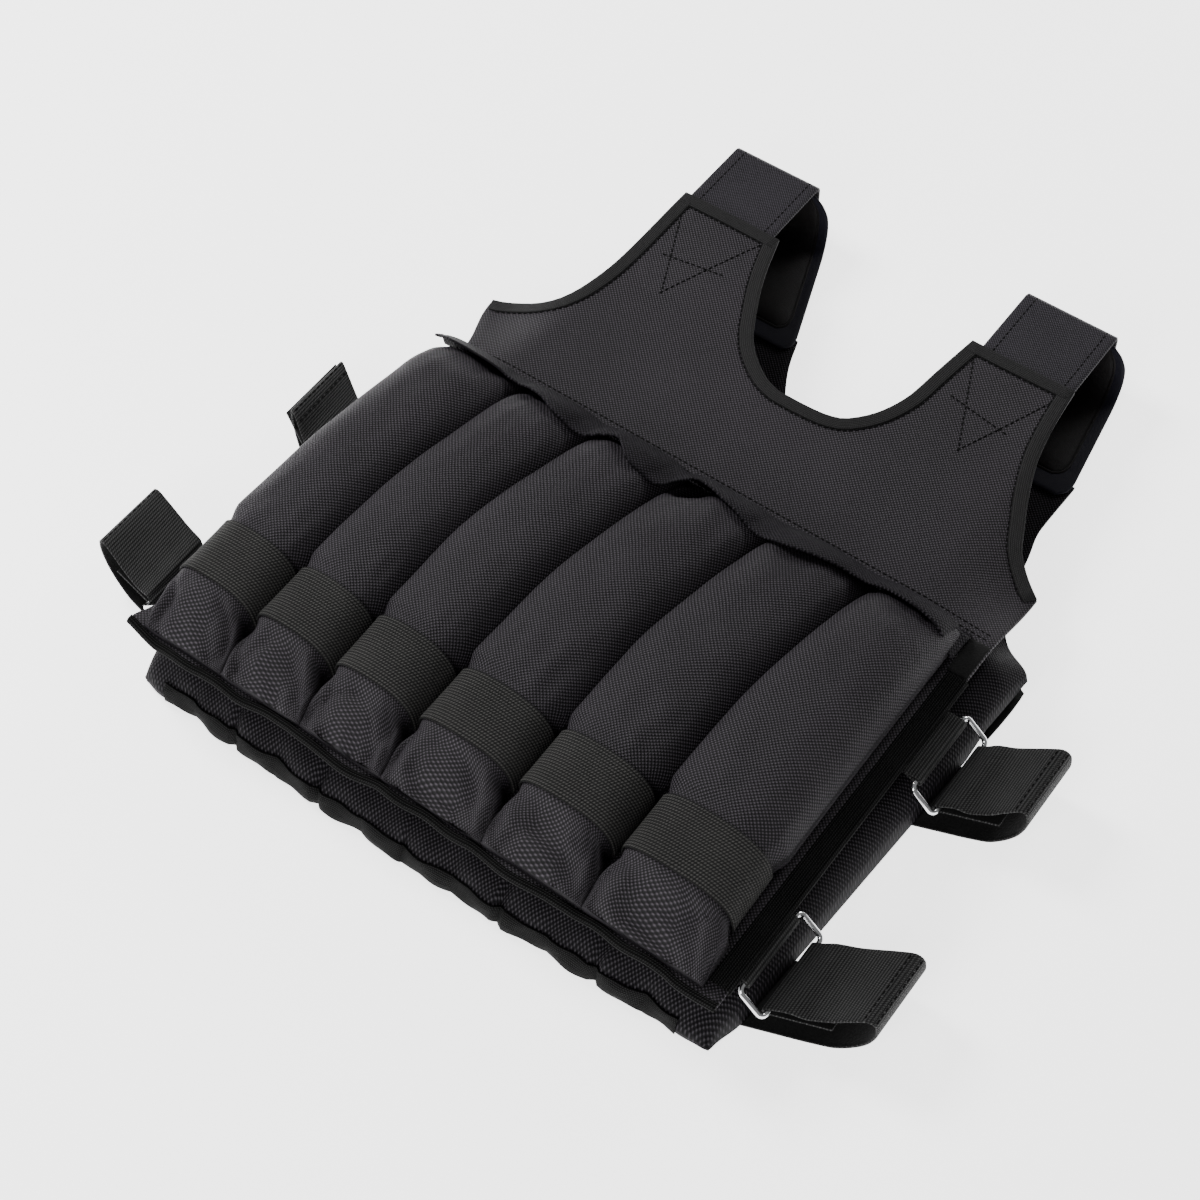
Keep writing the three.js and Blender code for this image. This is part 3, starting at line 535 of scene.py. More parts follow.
class Maker:
    """Builds one material's nodes."""

    def __init__(self, name):
        self.material = bpy.data.materials.new(name)
        self.material.use_nodes = True
        self.tree = self.material.node_tree
        self.shader = self.tree.nodes["Principled BSDF"]

    def node(self, kind, settings=None, inputs=None, output=0):
        made = self.tree.nodes.new(kind)
        for key, value in (settings or {}).items():
            setattr(made, key, value)
        for key, value in (inputs or {}).items():
            self.feed(made.inputs[key], value)
        return Wire(self, made.outputs[output])

    def feed(self, socket, value):
        if isinstance(value, Wire):
            self.tree.links.new(value.socket, socket)
        else:
            socket.default_value = value

    def mix(self, share, first, second):
        made = self.tree.nodes.new("ShaderNodeMix")
        made.data_type = "RGBA"
        self.feed(made.inputs["Factor"], share)
        for name, value in (("A", first), ("B", second)):
            socket = [s for s in made.inputs if s.name == name and s.type == "RGBA"][0]
            self.feed(socket, value)
        return Wire(self, [s for s in made.outputs if s.type == "RGBA"][0])

    def fixed(self, values):
        for name, value in values.items():
            self.shader.inputs[name].default_value = value

    def cloth_millimetres(self):
        flat = self.node("ShaderNodeUVMap", {"uv_map": "cloth"})
        across = self.node("ShaderNodeSeparateXYZ", {}, {"Vector": flat}, output="X")
        along = self.node("ShaderNodeSeparateXYZ", {}, {"Vector": flat}, output="Y")
        return across * 1000.0, along * 1000.0

    def cloud(self, size, detail=3.0):
        place = self.node("ShaderNodeTexCoord", output=3)
        inputs = {"Vector": place, "Scale": 1000.0 / size, "Detail": detail}
        return self.node("ShaderNodeTexNoise", {}, inputs)

    def bump(self, height, distance):
        return self.node("ShaderNodeBump", {}, {"Height": height, "Distance": distance * MM, "Strength": 1.0})

    def done(self, color, roughness, normal):
        self.feed(self.shader.inputs["Base Color"], color)
        self.feed(self.shader.inputs["Roughness"], roughness)
        if normal is not None:
            self.feed(self.shader.inputs["Normal"], normal)
        return self.material


def colour(r, g, b):
    return (r, g, b, 1.0)


def grey(tone):
    return colour(tone, tone, tone)


def woven_cloth(name, dark, light, pitch, depth, sheen, gloss):
    """Plain weave: bumps where warp and weft cross over, a painted highlight on the raised yarn, and a soft
    uneven tint.
    """
    maker = Maker(name)
    u, v = maker.cloth_millimetres()
    weave = (u * (math.pi / pitch)).sine() * (v * (math.pi / pitch)).sine()
    height = weave * 0.5 + 0.5
    wide = maker.cloud(60.0)
    fine = maker.cloud(1.1, 2.0)
    # Painted highlight: the weave's crowns are mixed towards the raised tone, as if lit.
    tint = maker.mix(height.power(3.0) * 0.95 + wide * 0.16 + fine * 0.2 - 0.18, dark, light)
    roughness = 0.5 + wide * 0.14 + height * 0.1
    normal = maker.bump(height + fine * 0.3, depth)
    maker.fixed({"Sheen Weight": sheen, "Sheen Roughness": 0.35, "Sheen Tint": colour(0.62, 0.56, 0.68),
                 "Specular IOR Level": gloss})
    return maker.done(tint, roughness, normal)


def ribbed_cloth(name, dark, light, rib, dot, depth, sheen, crossing, gloss):
    """Webbing: ribs along the cloth's length, broken by the crossing yarn, with a painted highlight on the
    raised ribs.
    """
    maker = Maker(name)
    u, v = maker.cloth_millimetres()
    ribs = (u * (math.pi / rib)).sine().absolute()
    dots = (v * (math.pi / dot) + u * 0.9).sine().absolute()
    height = ribs * (dots * crossing + (1.0 - crossing))
    wide = maker.cloud(30.0)
    fuzz = maker.cloud(0.8, 2.0)
    # Painted highlight: the raised ribs are mixed towards the raised tone, as if lit.
    tint = maker.mix(height.power(1.8) * 0.8 + wide * 0.25 + fuzz * 0.3 - 0.28, dark, light)
    roughness = 0.62 + wide * 0.12 + height * 0.08
    maker.fixed({"Sheen Weight": sheen, "Sheen Roughness": 0.5, "Sheen Tint": colour(0.6, 0.6, 0.63),
                 "Specular IOR Level": gloss})
    return maker.done(tint, roughness, maker.bump(height + fuzz * 0.35, depth))


def fuzzy_cloth(name, dark, light):
    """Loop pile: fine tangled noise."""
    maker = Maker(name)
    pile = maker.cloud(1.3, 5.0)
    patches = maker.cloud(12.0)
    tint = maker.mix(pile * 0.8 + patches * 0.5 - 0.3, dark, light)
    roughness = 0.85 + pile * 0.1
    maker.fixed({"Sheen Weight": 0.05, "Sheen Roughness": 0.6, "Specular IOR Level": 0.1})
    return maker.done(tint, roughness, maker.bump(pile, 0.6))


def smooth_knit(name, dark, light):
    """Close knit over foam: tiny columns and a low even sheen."""
    maker = Maker(name)
    u, v = maker.cloth_millimetres()
    knit = (u * (math.pi / 0.9)).sine().absolute() * (v * (math.pi / 0.7)).sine().absolute()
    wide = maker.cloud(45.0)
    tint = maker.mix(knit * 0.3 + wide * 0.6 - 0.1, dark, light)
    maker.fixed({"Sheen Weight": 0.02, "Sheen Roughness": 0.35, "Specular IOR Level": 0.15})
    return maker.done(tint, 0.55 + wide * 0.15, maker.bump(knit, 0.12))


def polished_chrome(name):
    maker = Maker(name)
    scuffs = maker.cloud(9.0, 6.0)
    tint = maker.mix(scuffs, colour(0.74, 0.75, 0.77), colour(0.9, 0.9, 0.91))
    maker.fixed({"Metallic": 1.0})
    return maker.done(tint, 0.08 + scuffs * 0.14, maker.bump(scuffs, 0.02))


def thread(name, dark, light):
    maker = Maker(name)
    twist = maker.cloud(0.5, 2.0)
    tint = maker.mix(twist, dark, light)
    maker.fixed({"Specular IOR Level": 0.15})
    return maker.done(tint, 0.7 + twist * 0.2, maker.bump(twist, 0.08))


def floor_material(name, tint):
    maker = Maker(name)
    grain = maker.cloud(400.0)
    worn = colour(tint[0] * 0.99, tint[1] * 0.99, tint[2] * 0.985)
    shade = maker.mix(grain * 0.3, colour(*tint), worn)
    maker.fixed({"Emission Color": grey(1.0), "Emission Strength": FLOOR_GLOW})
    return maker.done(shade, 0.42, None)


MATERIALS = {}


def looks():
    """The vest's materials, made once from the user's colours."""
    if MATERIALS:
        return MATERIALS
    props = bpy.context.scene.vest_cloth
    black = colour(*props.black)
    # The raised yarn's tone is a painted highlight.
    yarn = colour(*props.highlight)
    pitch = props.weave_pitch * 1000
    # Weaves: (look, name, raised tone, pitch, bump depth, sheen, gloss); the raised tone is a painted
    # highlight on the raised yarn
    weaves = (
        ("oxford", "oxford_cloth", yarn, pitch, 0.4, 0.02, 0.2),
        ("pocket", "pocket_cloth", yarn, pitch, 0.45, 0.02, 0.2),
        # Back panel: a darker, duller copy of the oxford, its lower raised tone painted shade.
        ("shaded_oxford", "shaded_oxford_cloth", colour(0.05, 0.046, 0.052), 1.3, 0.4, 0.0, 0.03),
        # Flap: a darker, duller copy of the oxford, its lower raised tone painted shade.
        ("flap", "flap_cloth", colour(0.045, 0.04, 0.048), 1.3, 0.4, 0.005, 0.06),
        ("strap", "twill_strap", colour(0.08, 0.071, 0.09), 1.05, 0.3, 0.02, 0.2),
    )
    for look, name, *rest in weaves:
        MATERIALS[look] = woven_cloth(name, black, *rest)
    # Ribbed cloths: (look, name, dark tone, raised tone, rib, dot, bump depth, sheen, crossing, gloss); the
    # raised tone is a painted highlight on the raised ribs
    ribbed = (
        ("webbing", "ribbed_webbing", grey(0.002), grey(0.07), 1.9, 1.5, 0.5, 0.015, 0.7, 0.18),
        ("elastic", "ribbed_elastic", grey(0.002), colour(0.088, 0.086, 0.082), 2.0, 1.9, 0.6, 0.015, 0.8,
         0.18),
        ("tape", "edge_tape", grey(0.0006), grey(0.03), 1.5, 1.5, 0.5, 0.0, 0.8, 0.04),
        ("edging", "edging_tape", grey(0.002), colour(0.036, 0.035, 0.036), 1.3, 1.3, 0.3, 0.02, 0.6, 0.18),
    )
    for look, name, *rest in ribbed:
        MATERIALS[look] = ribbed_cloth(name, *rest)
    MATERIALS["pad"] = smooth_knit("pad_knit", colour(0.0012, 0.0008, 0.001), colour(0.004, 0.0025, 0.003))
    MATERIALS["navy"] = smooth_knit("pad_flange", colour(0.002, 0.002, 0.005), colour(0.008, 0.007, 0.016))
    MATERIALS["pile"] = fuzzy_cloth("loop_pile", grey(0.001), grey(0.015))
    MATERIALS["chrome"] = polished_chrome("ring_chrome")
    MATERIALS["thread"] = thread("stitch_thread", grey(0.0005), grey(0.002))
    return MATERIALS


# Shapes of the vest's parts, in millimetres

def outline(width, neck_width, tabs_width, top_y, neck_depth, side_y, arm_curves, per_part):
    """Columns of a panel from left to right: x and the height of its top edge."""
    half = width / 2
    tab_outer = tabs_width / 2
    tab_inner = neck_width / 2

    def half_columns(sign, neck, arm):
        neck_points = [(sign * a * tab_inner, top_y - d * neck_depth) for a, d in neck]
        arm_points = [(sign * lerp(tab_outer, half, a), lerp(top_y, side_y, d)) for a, d in arm]
        shares = np.linspace(0, 1, per_part // 2)[1:-1]
        tab_points = [(sign * lerp(tab_inner, tab_outer, s), top_y) for s in shares]
        neck_edge = smooth_path(neck_points, per_part).tolist()
        return neck_edge + tab_points + smooth_path(arm_points, per_part).tolist()

    left = half_columns(-1, NECK_CURVES["left"], arm_curves["left"])[::-1]
    return np.array(left + half_columns(1, NECK_CURVES["right"], arm_curves["right"]))


def front_outline():
    side_y = HEM_Y + PANEL_SIDE
    return outline(PANEL_WIDTH, NECK_WIDTH, TABS_WIDTH, TAB_TOP_Y, NECK_DEPTH, side_y, ARM_CURVES, 26)


def front_height(x, y):
    side = smooth(np.abs(x), TABS_WIDTH / 2, PANEL_WIDTH / 2)
    yoke = smooth(y, YOKE_START_Y, HEM_Y + PANEL_SIDE)
    tab = smooth(y, TAB_TOP_Y - NECK_DEPTH, TAB_TOP_Y)
    soft = smooth(y, FLAP_SEAM_Y + SWELL_START, FLAP_SEAM_Y + SWELL_FULL) * (1 - 0.6 * side)
    swell = 1.5 * np.sin(x / 47.0 + 0.8) * np.sin((y - FLAP_SEAM_Y) / 52.0)
    swell = swell + 0.9 * np.sin((x + 0.6 * y) / 23.0)
    return FRONT_LEVEL - CORNER_DROOP * side * yoke + TAB_LIFT * tab * (1 - side) + YOKE_SWELL * swell * soft


def waist_pull(x, y):
    outer = smooth(-x, TABS_WIDTH / 2, PANEL_WIDTH / 2)
    narrowing = smooth(y, WAIST_START_Y, FLAP_SEAM_Y) - smooth(y, FLAP_SEAM_Y, HEM_Y + PANEL_SIDE)
    return WAIST_PULL * outer * narrowing


def hem_ripple(x):
    """Shift of the front hem's loose edge at each place across it."""
    corner = smooth(-x, PANEL_WIDTH / 2 - HEM_CORNER, PANEL_WIDTH / 2)
    bulge = np.abs(np.cos(np.pi * (x - HEM_SCALLOP_SHIFT) * POCKET_COUNT / FRONT_ROW_WIDTH))
    along = waves(HEM_WAVES["along"], x) - HEM_SCALLOP * bulge + HEM_CORNER_BACK * corner
    up = waves(HEM_WAVES["up"], x) + HEM_CORNER_LIFT * corner
    return -HEM_TIP * corner, along, up


def front_panel_grid():
    x, top = front_outline().T
    low = [HEM_Y + step for step in HEM_STEPS]
    low += [lerp(HEM_Y, WAIST_START_Y, s) for s in np.linspace(0, 1, 12)[1:]]
    low += [lerp(WAIST_START_Y, YOKE_START_Y, s) for s in (0.33, 0.67, 1.0)]
    heights = [np.full_like(x, y) for y in low]
    heights += [lerp(YOKE_START_Y, top, share) for share in np.linspace(0, 1, 44)[1:]]
    y = np.array(heights)
    out, along, up = hem_ripple(x)
    loose = 1 - smooth(y, HEM_Y + HEM_LOOSE[0], HEM_Y + HEM_LOOSE[1])
    near = 1 - smooth(y, HEM_Y + HEM_RUFFLED[0], HEM_Y + HEM_RUFFLED[1])
    z = front_height(x, y) + up * near
    return points_at(x + waist_pull(x, y) + out * loose, y + along * near, z)


def front_seam(index, y):
    along = np.clip((y - POCKET_START_Y) / POCKET_LENGTH, 0, 1)
    share = eased([0, 0.5, 1], FRONT_SEAMS[index], along)
    return (share - 0.5) * FRONT_ROW_WIDTH


def back_seam(index):
    return (index / POCKET_COUNT - 0.5) * BACK_ROW_WIDTH


def roll_share(distance, roll):
    turned = np.clip(distance / roll, 0, 1)
    return np.sqrt(1 - turned * turned)


def back_height(x, y):
    level = lerp(BACK_LEVEL, FLOOR_LEVEL, smooth(y, YOKE_START_Y, YOKE_START_Y + YOKE_SLOPE))
    flap_start = BACK_FLAP_SEAM_Y - BACK_FLAP_DEPTH
    over_flap = smooth(y, flap_start - SIDE_ROLL, flap_start)
    over_flap = over_flap * (1 - smooth(y, BACK_FLAP_SEAM_Y, YOKE_START_Y + YOKE_SLOPE))
    edge = np.minimum(BACK_EDGE_LEVEL + FLAP_ROOM * over_flap, level)
    side = roll_share(np.abs(x) - (BACK_WIDTH / 2 - SIDE_ROLL), SIDE_ROLL)
    hem = roll_share(BACK_HEM_Y + HEM_ROLL - y, HEM_ROLL)
    return lerp(edge, level, side * hem)


def hem_shape(x):
    pitch = BACK_ROW_WIDTH / POCKET_COUNT
    puff = HEM_PUFF * np.abs(np.cos(np.pi * x / pitch)) ** 0.7
    end = x / (BACK_WIDTH / 2)
    return HEM_TAPER * end**3, HEM_BOW * end * end - puff


def lean(grid):
    leaned = grid.copy()
    leaned[..., 0] += BACK_LEAN * grid[..., 1]
    return leaned


def back_panel_grid():
    arms = {"left": BACK_ARM_CURVE, "right": BACK_ARM_CURVE}
    columns = outline(BACK_WIDTH, BACK_NECK_WIDTH, TABS_WIDTH, YOKE_TOP_Y, BACK_NECK_DEPTH,
                      BACK_HEM_Y + BACK_SIDE, arms, 30)
    places = np.arange(len(columns))
    halves = np.arange(0, len(columns) - 0.5, 0.5)
    x = np.interp(halves, places, columns[:, 0])
    top = np.interp(halves, places, columns[:, 1])
    slope_end = np.minimum(YOKE_START_Y + YOKE_SLOPE, lerp(YOKE_START_Y, top, 0.9))
    hem_shares = 1 - np.cos(np.linspace(0, math.pi / 2, 12))
    heights = [np.full_like(x, BACK_HEM_Y + share * HEM_ROLL) for share in hem_shares]
    heights += [np.full_like(x, y) for y in np.linspace(BACK_HEM_Y + HEM_ROLL, YOKE_START_Y, 14)[1:]]
    heights += [lerp(YOKE_START_Y, slope_end, share) for share in np.linspace(0, 1, 14)[1:]]
    heights += [lerp(slope_end, top, share) for share in np.linspace(0, 1, 10)[1:]]
    y = np.array(heights)
    low = smooth(HEM_ROLL - y, 0, HEM_ROLL)
    taper, shift = hem_shape(x)
    z = back_height(x, y)
    groove = sum(np.exp(-(((x - back_seam(index)) / QUILT_HALF) ** 2)) for index in range(1, POCKET_COUNT))
    near = 1 - smooth(y, BACK_HEM_Y + HEM_ROLL * 0.6, BACK_HEM_Y + HEM_ROLL * 1.5)
    slack = 0.7 * np.sin(x / 7.0 + z / 6.0) + 0.5 * np.sin(x / 3.9 - z / 4.0)
    inward = (QUILT_DEPTH * groove + slack) * near
    return lean(points_at(x - taper * low, y + shift * low + inward, z - 0.5 * QUILT_DEPTH * groove * near))


def pocket_profile(along):
    """Rise and width of a pocket at a share of its length."""
    return eased_table(POCKET_SECTIONS, 1, along), eased_table(POCKET_SECTIONS, 2, along)


def pocket_folds(index, along, turn, top):
    """Depth of the gathers in a pocket's toe, the pleats at its top and the one open mouth."""
    wander = 1.1 * np.sin(along * 34 + 2 * index) + 0.7 * index
    broad = (1 - np.abs(np.sin(2.5 * turn + wander))) ** 1.3
    sharp = (1 - np.abs(np.sin(4.5 * turn - wander + 1.0))) ** 2
    loose = smooth(along, 0.0, 0.02) * (1 - smooth(along, 0.08, 0.105))
    bunch = loose * GATHER_DEPTH * (1.1 * broad + 0.5 * sharp) * top
    tail = smooth(along, 0.84, 0.98)
    pleat = PLEAT_DEPTH * tail * (1 - np.abs(np.sin(2.5 * turn + 1.3 * index))) ** 1.5 * top
    mouth = np.exp(-(((along - 0.94) / 0.032) ** 2) - ((turn - 2.15) / 0.3) ** 2)
    lip = np.exp(-(((along - 0.93) / 0.05) ** 2) - ((turn - 1.55) / 0.16) ** 2)
    opened = (MOUTH_DEPTH * mouth - LIP_HEIGHT * lip) * (index == MOUTH_POCKET)
    return bunch + pleat + opened


def front_pocket_surface(index, along, turn, grow=0.0):
    """Points round a front pocket's section at shares of its length, angles in radians."""
    y = POCKET_START_Y + along * POCKET_LENGTH
    left = front_seam(index, y)
    right = front_seam(index + 1, y)
    rise, width = pocket_profile(along)
    width = np.maximum(width, lerp(1.0, width, smooth(along, 0.07, 0.1)))
    rise = rise * FRONT_POCKET_HEIGHT
    cosine = np.cos(turn)
    sine = np.sin(turn)
    roundness = lerp(0.45, 0.82, smooth(along, 0.02, 0.16))
    across = np.sign(cosine) * np.abs(cosine) ** roundness
    up = np.sign(sine) * np.abs(sine) ** roundness
    pinch = PINCH_DEPTH * np.exp(-(((along - 0.085) / 0.02) ** 2))
    inner = np.where(across < 0, index > 0, index < POCKET_COUNT - 1)
    half = (right - left) / 2 * width - POCKET_GAP / 2 + grow - pinch * inner
    height = np.maximum(0, rise * (0.4 + 0.6 * up) + grow * up)
    folds = pocket_folds(index, along, turn, np.maximum(0, up))
    height = height - np.minimum(folds, height * MOST_FOLD)
    x = (left + right) / 2 + across * half - POCKET_LEAN * height / FRONT_POCKET_HEIGHT
    y = y - TOE_REACH * (1 - smooth(along, 0.0, 0.1))
    return points_at(x, y, POCKET_BASE + height)


def back_ceiling(x, y):
    rolled = BACK_LEVEL - back_height(x, y)
    spare = np.minimum(rolled, SIDE_ROLL) * CEILING_SPARE
    return back_height(x, y) - PANEL_CLOTH / 2 - SEAT - spare


def back_pocket_surface(index, along, turn, grow=0.0):
    y = POCKET_START_Y + along * POCKET_LENGTH
    left = back_seam(index)
    right = back_seam(index + 1)
    rise, width = pocket_profile(along)
    rise = np.minimum(1, rise + 0.04)
    banded = smooth(along, 0.09, 0.105) * (1 - smooth(along, 0.265, 0.29))
    cosine = np.cos(turn)
    sine = np.sin(turn)
    across = np.sign(cosine) * np.abs(cosine) ** 0.6
    up = np.sign(sine) * np.abs(sine) ** 0.6
    half = (right - left) / 2 * width - POCKET_GAP / 2 + grow
    x = (left + right) / 2 + across * half
    ceiling = np.minimum(BACK_POCKET_HEIGHT, back_ceiling(x, y))
    room = BAND_CLOTH + 2 * SEAT
    free = np.maximum(0, (0.9 - rise) * BACK_POCKET_HEIGHT)
    floor = np.maximum(free, room * banded)
    height = lerp(floor, ceiling, np.clip(0.5 + 0.56 * up, 0, 1)) - grow * (up < 0)
    return lean(points_at(x, y, height))


def pocket_tops(x, y):
    """Height of the front pockets' upper side over each point of the panel."""
    along = np.clip((y - POCKET_START_Y) / POCKET_LENGTH, 0, 1)
    rise = pocket_profile(along)[0] * FRONT_POCKET_HEIGHT * (y < POCKET_START_Y + POCKET_LENGTH)
    height = np.zeros_like(x)
    for index in range(POCKET_COUNT):
        left = front_seam(index, y) - POCKET_LEAN
        right = front_seam(index + 1, y) - POCKET_LEAN
        across = np.abs((x - (left + right) / 2) / ((right - left) / 2))
        crown = np.sqrt(np.maximum(0, 1 - np.minimum(across, 1) ** 2.4)) ** 0.82
        height = np.maximum(height, rise * (0.4 + 0.6 * crown) * (across <= 1))
    return POCKET_BASE + height


def flap_grid():
    across = np.linspace(FLAP_WAVES[0][0], FLAP_WAVES[-1][0], 170)
    hang = eased_table(FLAP_WAVES, 1, across)
    x = across * (PANEL_WIDTH + FLAP_OVERHANG)
    sewn = FRONT_TOP + 2 * SEAT + FLAP_EDGE / 2
    rows = []
    for share in np.linspace(0, 1, 22):
        distance = share * hang * FLAP_DEPTH
        y = FLAP_SEAM_Y - distance
        tops = np.maximum.reduce([pocket_tops(x, y - step) for step in (0.0, 2.0, 4.0)])
        spread = np.convolve(np.pad(tops, 6, mode="edge"), np.ones(13) / 13, mode="valid")
        draped = np.maximum(tops, spread) + FLAP_STAND + FLAP_EDGE / 2
        curl = FLAP_CURL * share * np.maximum(0, np.sin(x / 15.0 + 2 * np.sin(x / 41.0)))
        rows.append(points_at(x, y, np.maximum(draped, sewn) + curl))
    rows = np.array(rows)
    rows[0, :, 2] = sewn
    heights = rows[..., 2]
    for turn in range(2):
        heights[1:-1] = np.maximum(heights[1:-1], (heights[:-2] + heights[2:]) / 2)
    return rows[::-1]


def back_flap_grid():
    fall = [(0.0, 1.0), (0.1, 0.55), (0.3, 0.18), (0.6, 0.02), (1.0, 0.0)]
    lift = YOKE_CLEARANCE + FLAP_CLOTH / 2
    x = np.linspace(-BACK_WIDTH / 2 + SIDE_ROLL, BACK_WIDTH / 2 + FLAP_OVERHANG, 40)
    free = smooth(x, BACK_WIDTH / 2 - SIDE_ROLL, BACK_WIDTH / 2) * FLAP_ROOM / 3
    sewn = back_height(x, np.full_like(x, BACK_FLAP_SEAM_Y)) - PANEL_CLOTH - 2 * SEAT
    rows = []
    for down, up in fall:
        z = lerp(lift + free, np.maximum(sewn, lift + free), up)
        rows.append(points_at(x, BACK_FLAP_SEAM_Y - down * BACK_FLAP_DEPTH, z))
    return lean(np.array(rows)[::-1])


def shoulder_strap_grid(side):
    level = FRONT_LEVEL + TAB_LIFT - PANEL_CLOTH - 2 * SEAT
    far = FOLD_Y - PANEL_CLOTH / 2
    bend = far - FOLD_RADIUS
    path = [
        (TAB_TOP_Y - STRAP_TUCK, level - TAB_LIFT * 0.3), (TAB_TOP_Y, level),
        (lerp(TAB_TOP_Y, bend, 0.5), level), (bend, level),
        (bend + FOLD_RADIUS * 0.7, level - FOLD_RADIUS * 0.3), (far, level - FOLD_RADIUS),
        (far, level - FOLD_RADIUS - STRAP_RETURN / 2), (far, level - FOLD_RADIUS - STRAP_RETURN),
    ]
    fine = smooth_path(path, 48)
    x = side * STRAP_CENTRE + np.linspace(-0.5, 0.5, 20) * STRAP_WIDTH
    return np.array([points_at(x, y, z) for y, z in fine])


def pad_route(side):
    top = FRONT_LEVEL + TAB_LIFT - 1.5 * PANEL_CLOTH - 3 * SEAT - FOLD_RADIUS / 2
    stand_y = FOLD_Y - PANEL_CLOTH - SEAT - PAD_THICKNESS / 2
    lie_z = PAD_THICKNESS / 2
    stand = top - lie_z - PAD_BEND
    bend = PAD_BEND * math.pi / 2
    end_y = YOKE_TOP_Y + SEAT
    total = stand + bend + (stand_y - PAD_BEND - end_y)

    def route(distance):
        if distance < stand:
            return stand_y, top - distance
        angle = (distance - stand) / PAD_BEND
        if angle < math.pi / 2:
            return stand_y - PAD_BEND * (1 - math.cos(angle)), lie_z + PAD_BEND * (1 - math.sin(angle))
        return stand_y - PAD_BEND - (distance - stand - bend), lie_z

    yoke_centre = side * (TABS_WIDTH + BACK_NECK_WIDTH) * 0.25 + BACK_LEAN * end_y

    def centre(y):
        return lerp(side * STRAP_CENTRE + PAD_SHIFT, yoke_centre, (stand_y - y) / (stand_y - end_y))

    return route, centre, total


def pad_grid(side, inset=0.0, columns=25, rows=46, overlap=0.0):
    route, centre, total = pad_route(side)
    total += overlap
    made = []
    for share in np.linspace(0, 1, rows):
        y, z = route(share * total)
        half = eased_table(PAD_SECTIONS, 1, share) * PAD_WIDTH / 2 - inset
        x = centre(y) + np.linspace(-1, 1, columns) * half
        made.append(points_at(x, y, z))
    return np.array(made)


def ring_seat(bar):
    inner_x = PANEL_WIDTH / 2 + bar
    inner_z = FRONT_LEVEL - PANEL_CLOTH / 2 - TAPE_CLOTH - WEBBING_CLOTH - 3 * SEAT - RING_WIRE
    outer_x = inner_x + RING_ACROSS * math.cos(RING_TILT)
    outer_z = inner_z - RING_ACROSS * math.sin(RING_TILT)
    return (inner_x, inner_z), (outer_x, outer_z)


def round_bar(bar, start, end, steps=8):
    radius = RING_WIRE + SEAT + WEBBING_CLOTH / 2
    angles = np.radians(np.linspace(start, end, steps))
    return [(bar[0] + radius * math.cos(a), bar[1] + radius * math.sin(a)) for a in angles]


def ring_rings(side, bar, ring_y):
    inner, outer = ring_seat(bar)
    half_long = RING_LENGTH / 2 - RING_CORNER
    half_across = RING_ACROSS / 2 - RING_CORNER
    outward = np.array([side * math.cos(RING_TILT), 0, -math.sin(RING_TILT)])
    facing = np.array([side * math.sin(RING_TILT), 0, math.cos(RING_TILT)])
    middle = np.array([side * (inner[0] + outer[0]) / 2, ring_y, (inner[1] + outer[1]) / 2])
    corners = [(half_long, half_across, 0), (-half_long, half_across, 90), (-half_long, -half_across, 180),
               (half_long, -half_across, 270)]
    rings = []
    for along, across, start in corners:
        for angle in np.radians(np.linspace(start, start + 90, 9)):
            radial = np.array([0, math.cos(angle), 0]) + outward * math.sin(angle)
            centre = middle + np.array([0, along, 0]) + outward * across + radial * RING_CORNER
            turn = np.linspace(0, 2 * math.pi, 14, endpoint=False)[:, None]
            rings.append(centre + RING_WIRE * (np.cos(turn) * radial + np.sin(turn) * facing))
    return np.array(rings)


def ring_tab_grid(side, bar, ring_y):
    inner, outer = ring_seat(bar)
    upper = inner[1] + RING_WIRE + SEAT + WEBBING_CLOTH / 2
    lower = upper - WEBBING_CLOTH - SEAT
    root = PANEL_WIDTH / 2 - BINDING_WIDTH
    turned_back = [(inner[0] - 4 * RING_WIRE, lower), (root, lower)]
    path = [(root, upper)] + round_bar(inner, 90, -135, 14) + turned_back
    y = ring_y + np.linspace(-0.5, 0.5, 16) * WEBBING_WIDTH
    return np.array([points_at(side * x, y, z) for x, z in path])


def side_strap_path(side, bar, reach, ring_y):
    inner, outer = ring_seat(bar)
    edge = BACK_WIDTH / 2 + side * BACK_LEAN * ring_y
    low = YOKE_CLEARANCE + WEBBING_CLOTH / 2
    loop = [(edge + out * reach, low + up * STRAP_RISE, sag * STRAP_RISE) for out, up, sag in STRAP_LOOP]
    wrap = [(x, z, 0.0) for x, z in round_bar(outer, 80, 280)]
    below = outer[1] - RING_WIRE - SEAT - WEBBING_CLOTH / 2
    tail = [(outer[0] + s * TAIL_LENGTH, below + s, s) for s in (0.5, 1.0)]
    return smooth_path(loop + wrap + tail, 90), edge, outer


def side_strap_grid(side, bar, reach, ring_y, fold_y):
    path, edge, outer = side_strap_path(side, bar, reach, ring_y)
    fold_x = edge + reach
    skew = (fold_y - ring_y) / (fold_x - outer[0])
    across = np.linspace(-0.5, 0.5, 18)
    rows = []
    for x, z, sag in path:
        y = fold_y + across * WEBBING_WIDTH - skew * (fold_x - x)
        rows.append(points_at(side * x, y, z - sag * (0.5 - across)))
    return np.array(rows)


# Stitches, made with geometry nodes from lines

STITCH_NODES = [
    ("start", "NodeGroupInput"), ("end", "NodeGroupOutput"), ("curve", "GeometryNodeMeshToCurve"),
    ("pitch", "ShaderNodeMath"), ("even", "GeometryNodeResampleCurve"), ("bead", "GeometryNodeMeshUVSphere"),
    ("size", "ShaderNodeCombineXYZ"), ("shaped", "GeometryNodeTransform"),
    ("tangent", "GeometryNodeInputTangent"), ("turn", "FunctionNodeAlignRotationToVector"),
    ("place", "GeometryNodeInstanceOnPoints"), ("real", "GeometryNodeRealizeInstances"),
    ("paint", "GeometryNodeSetMaterial"),
]
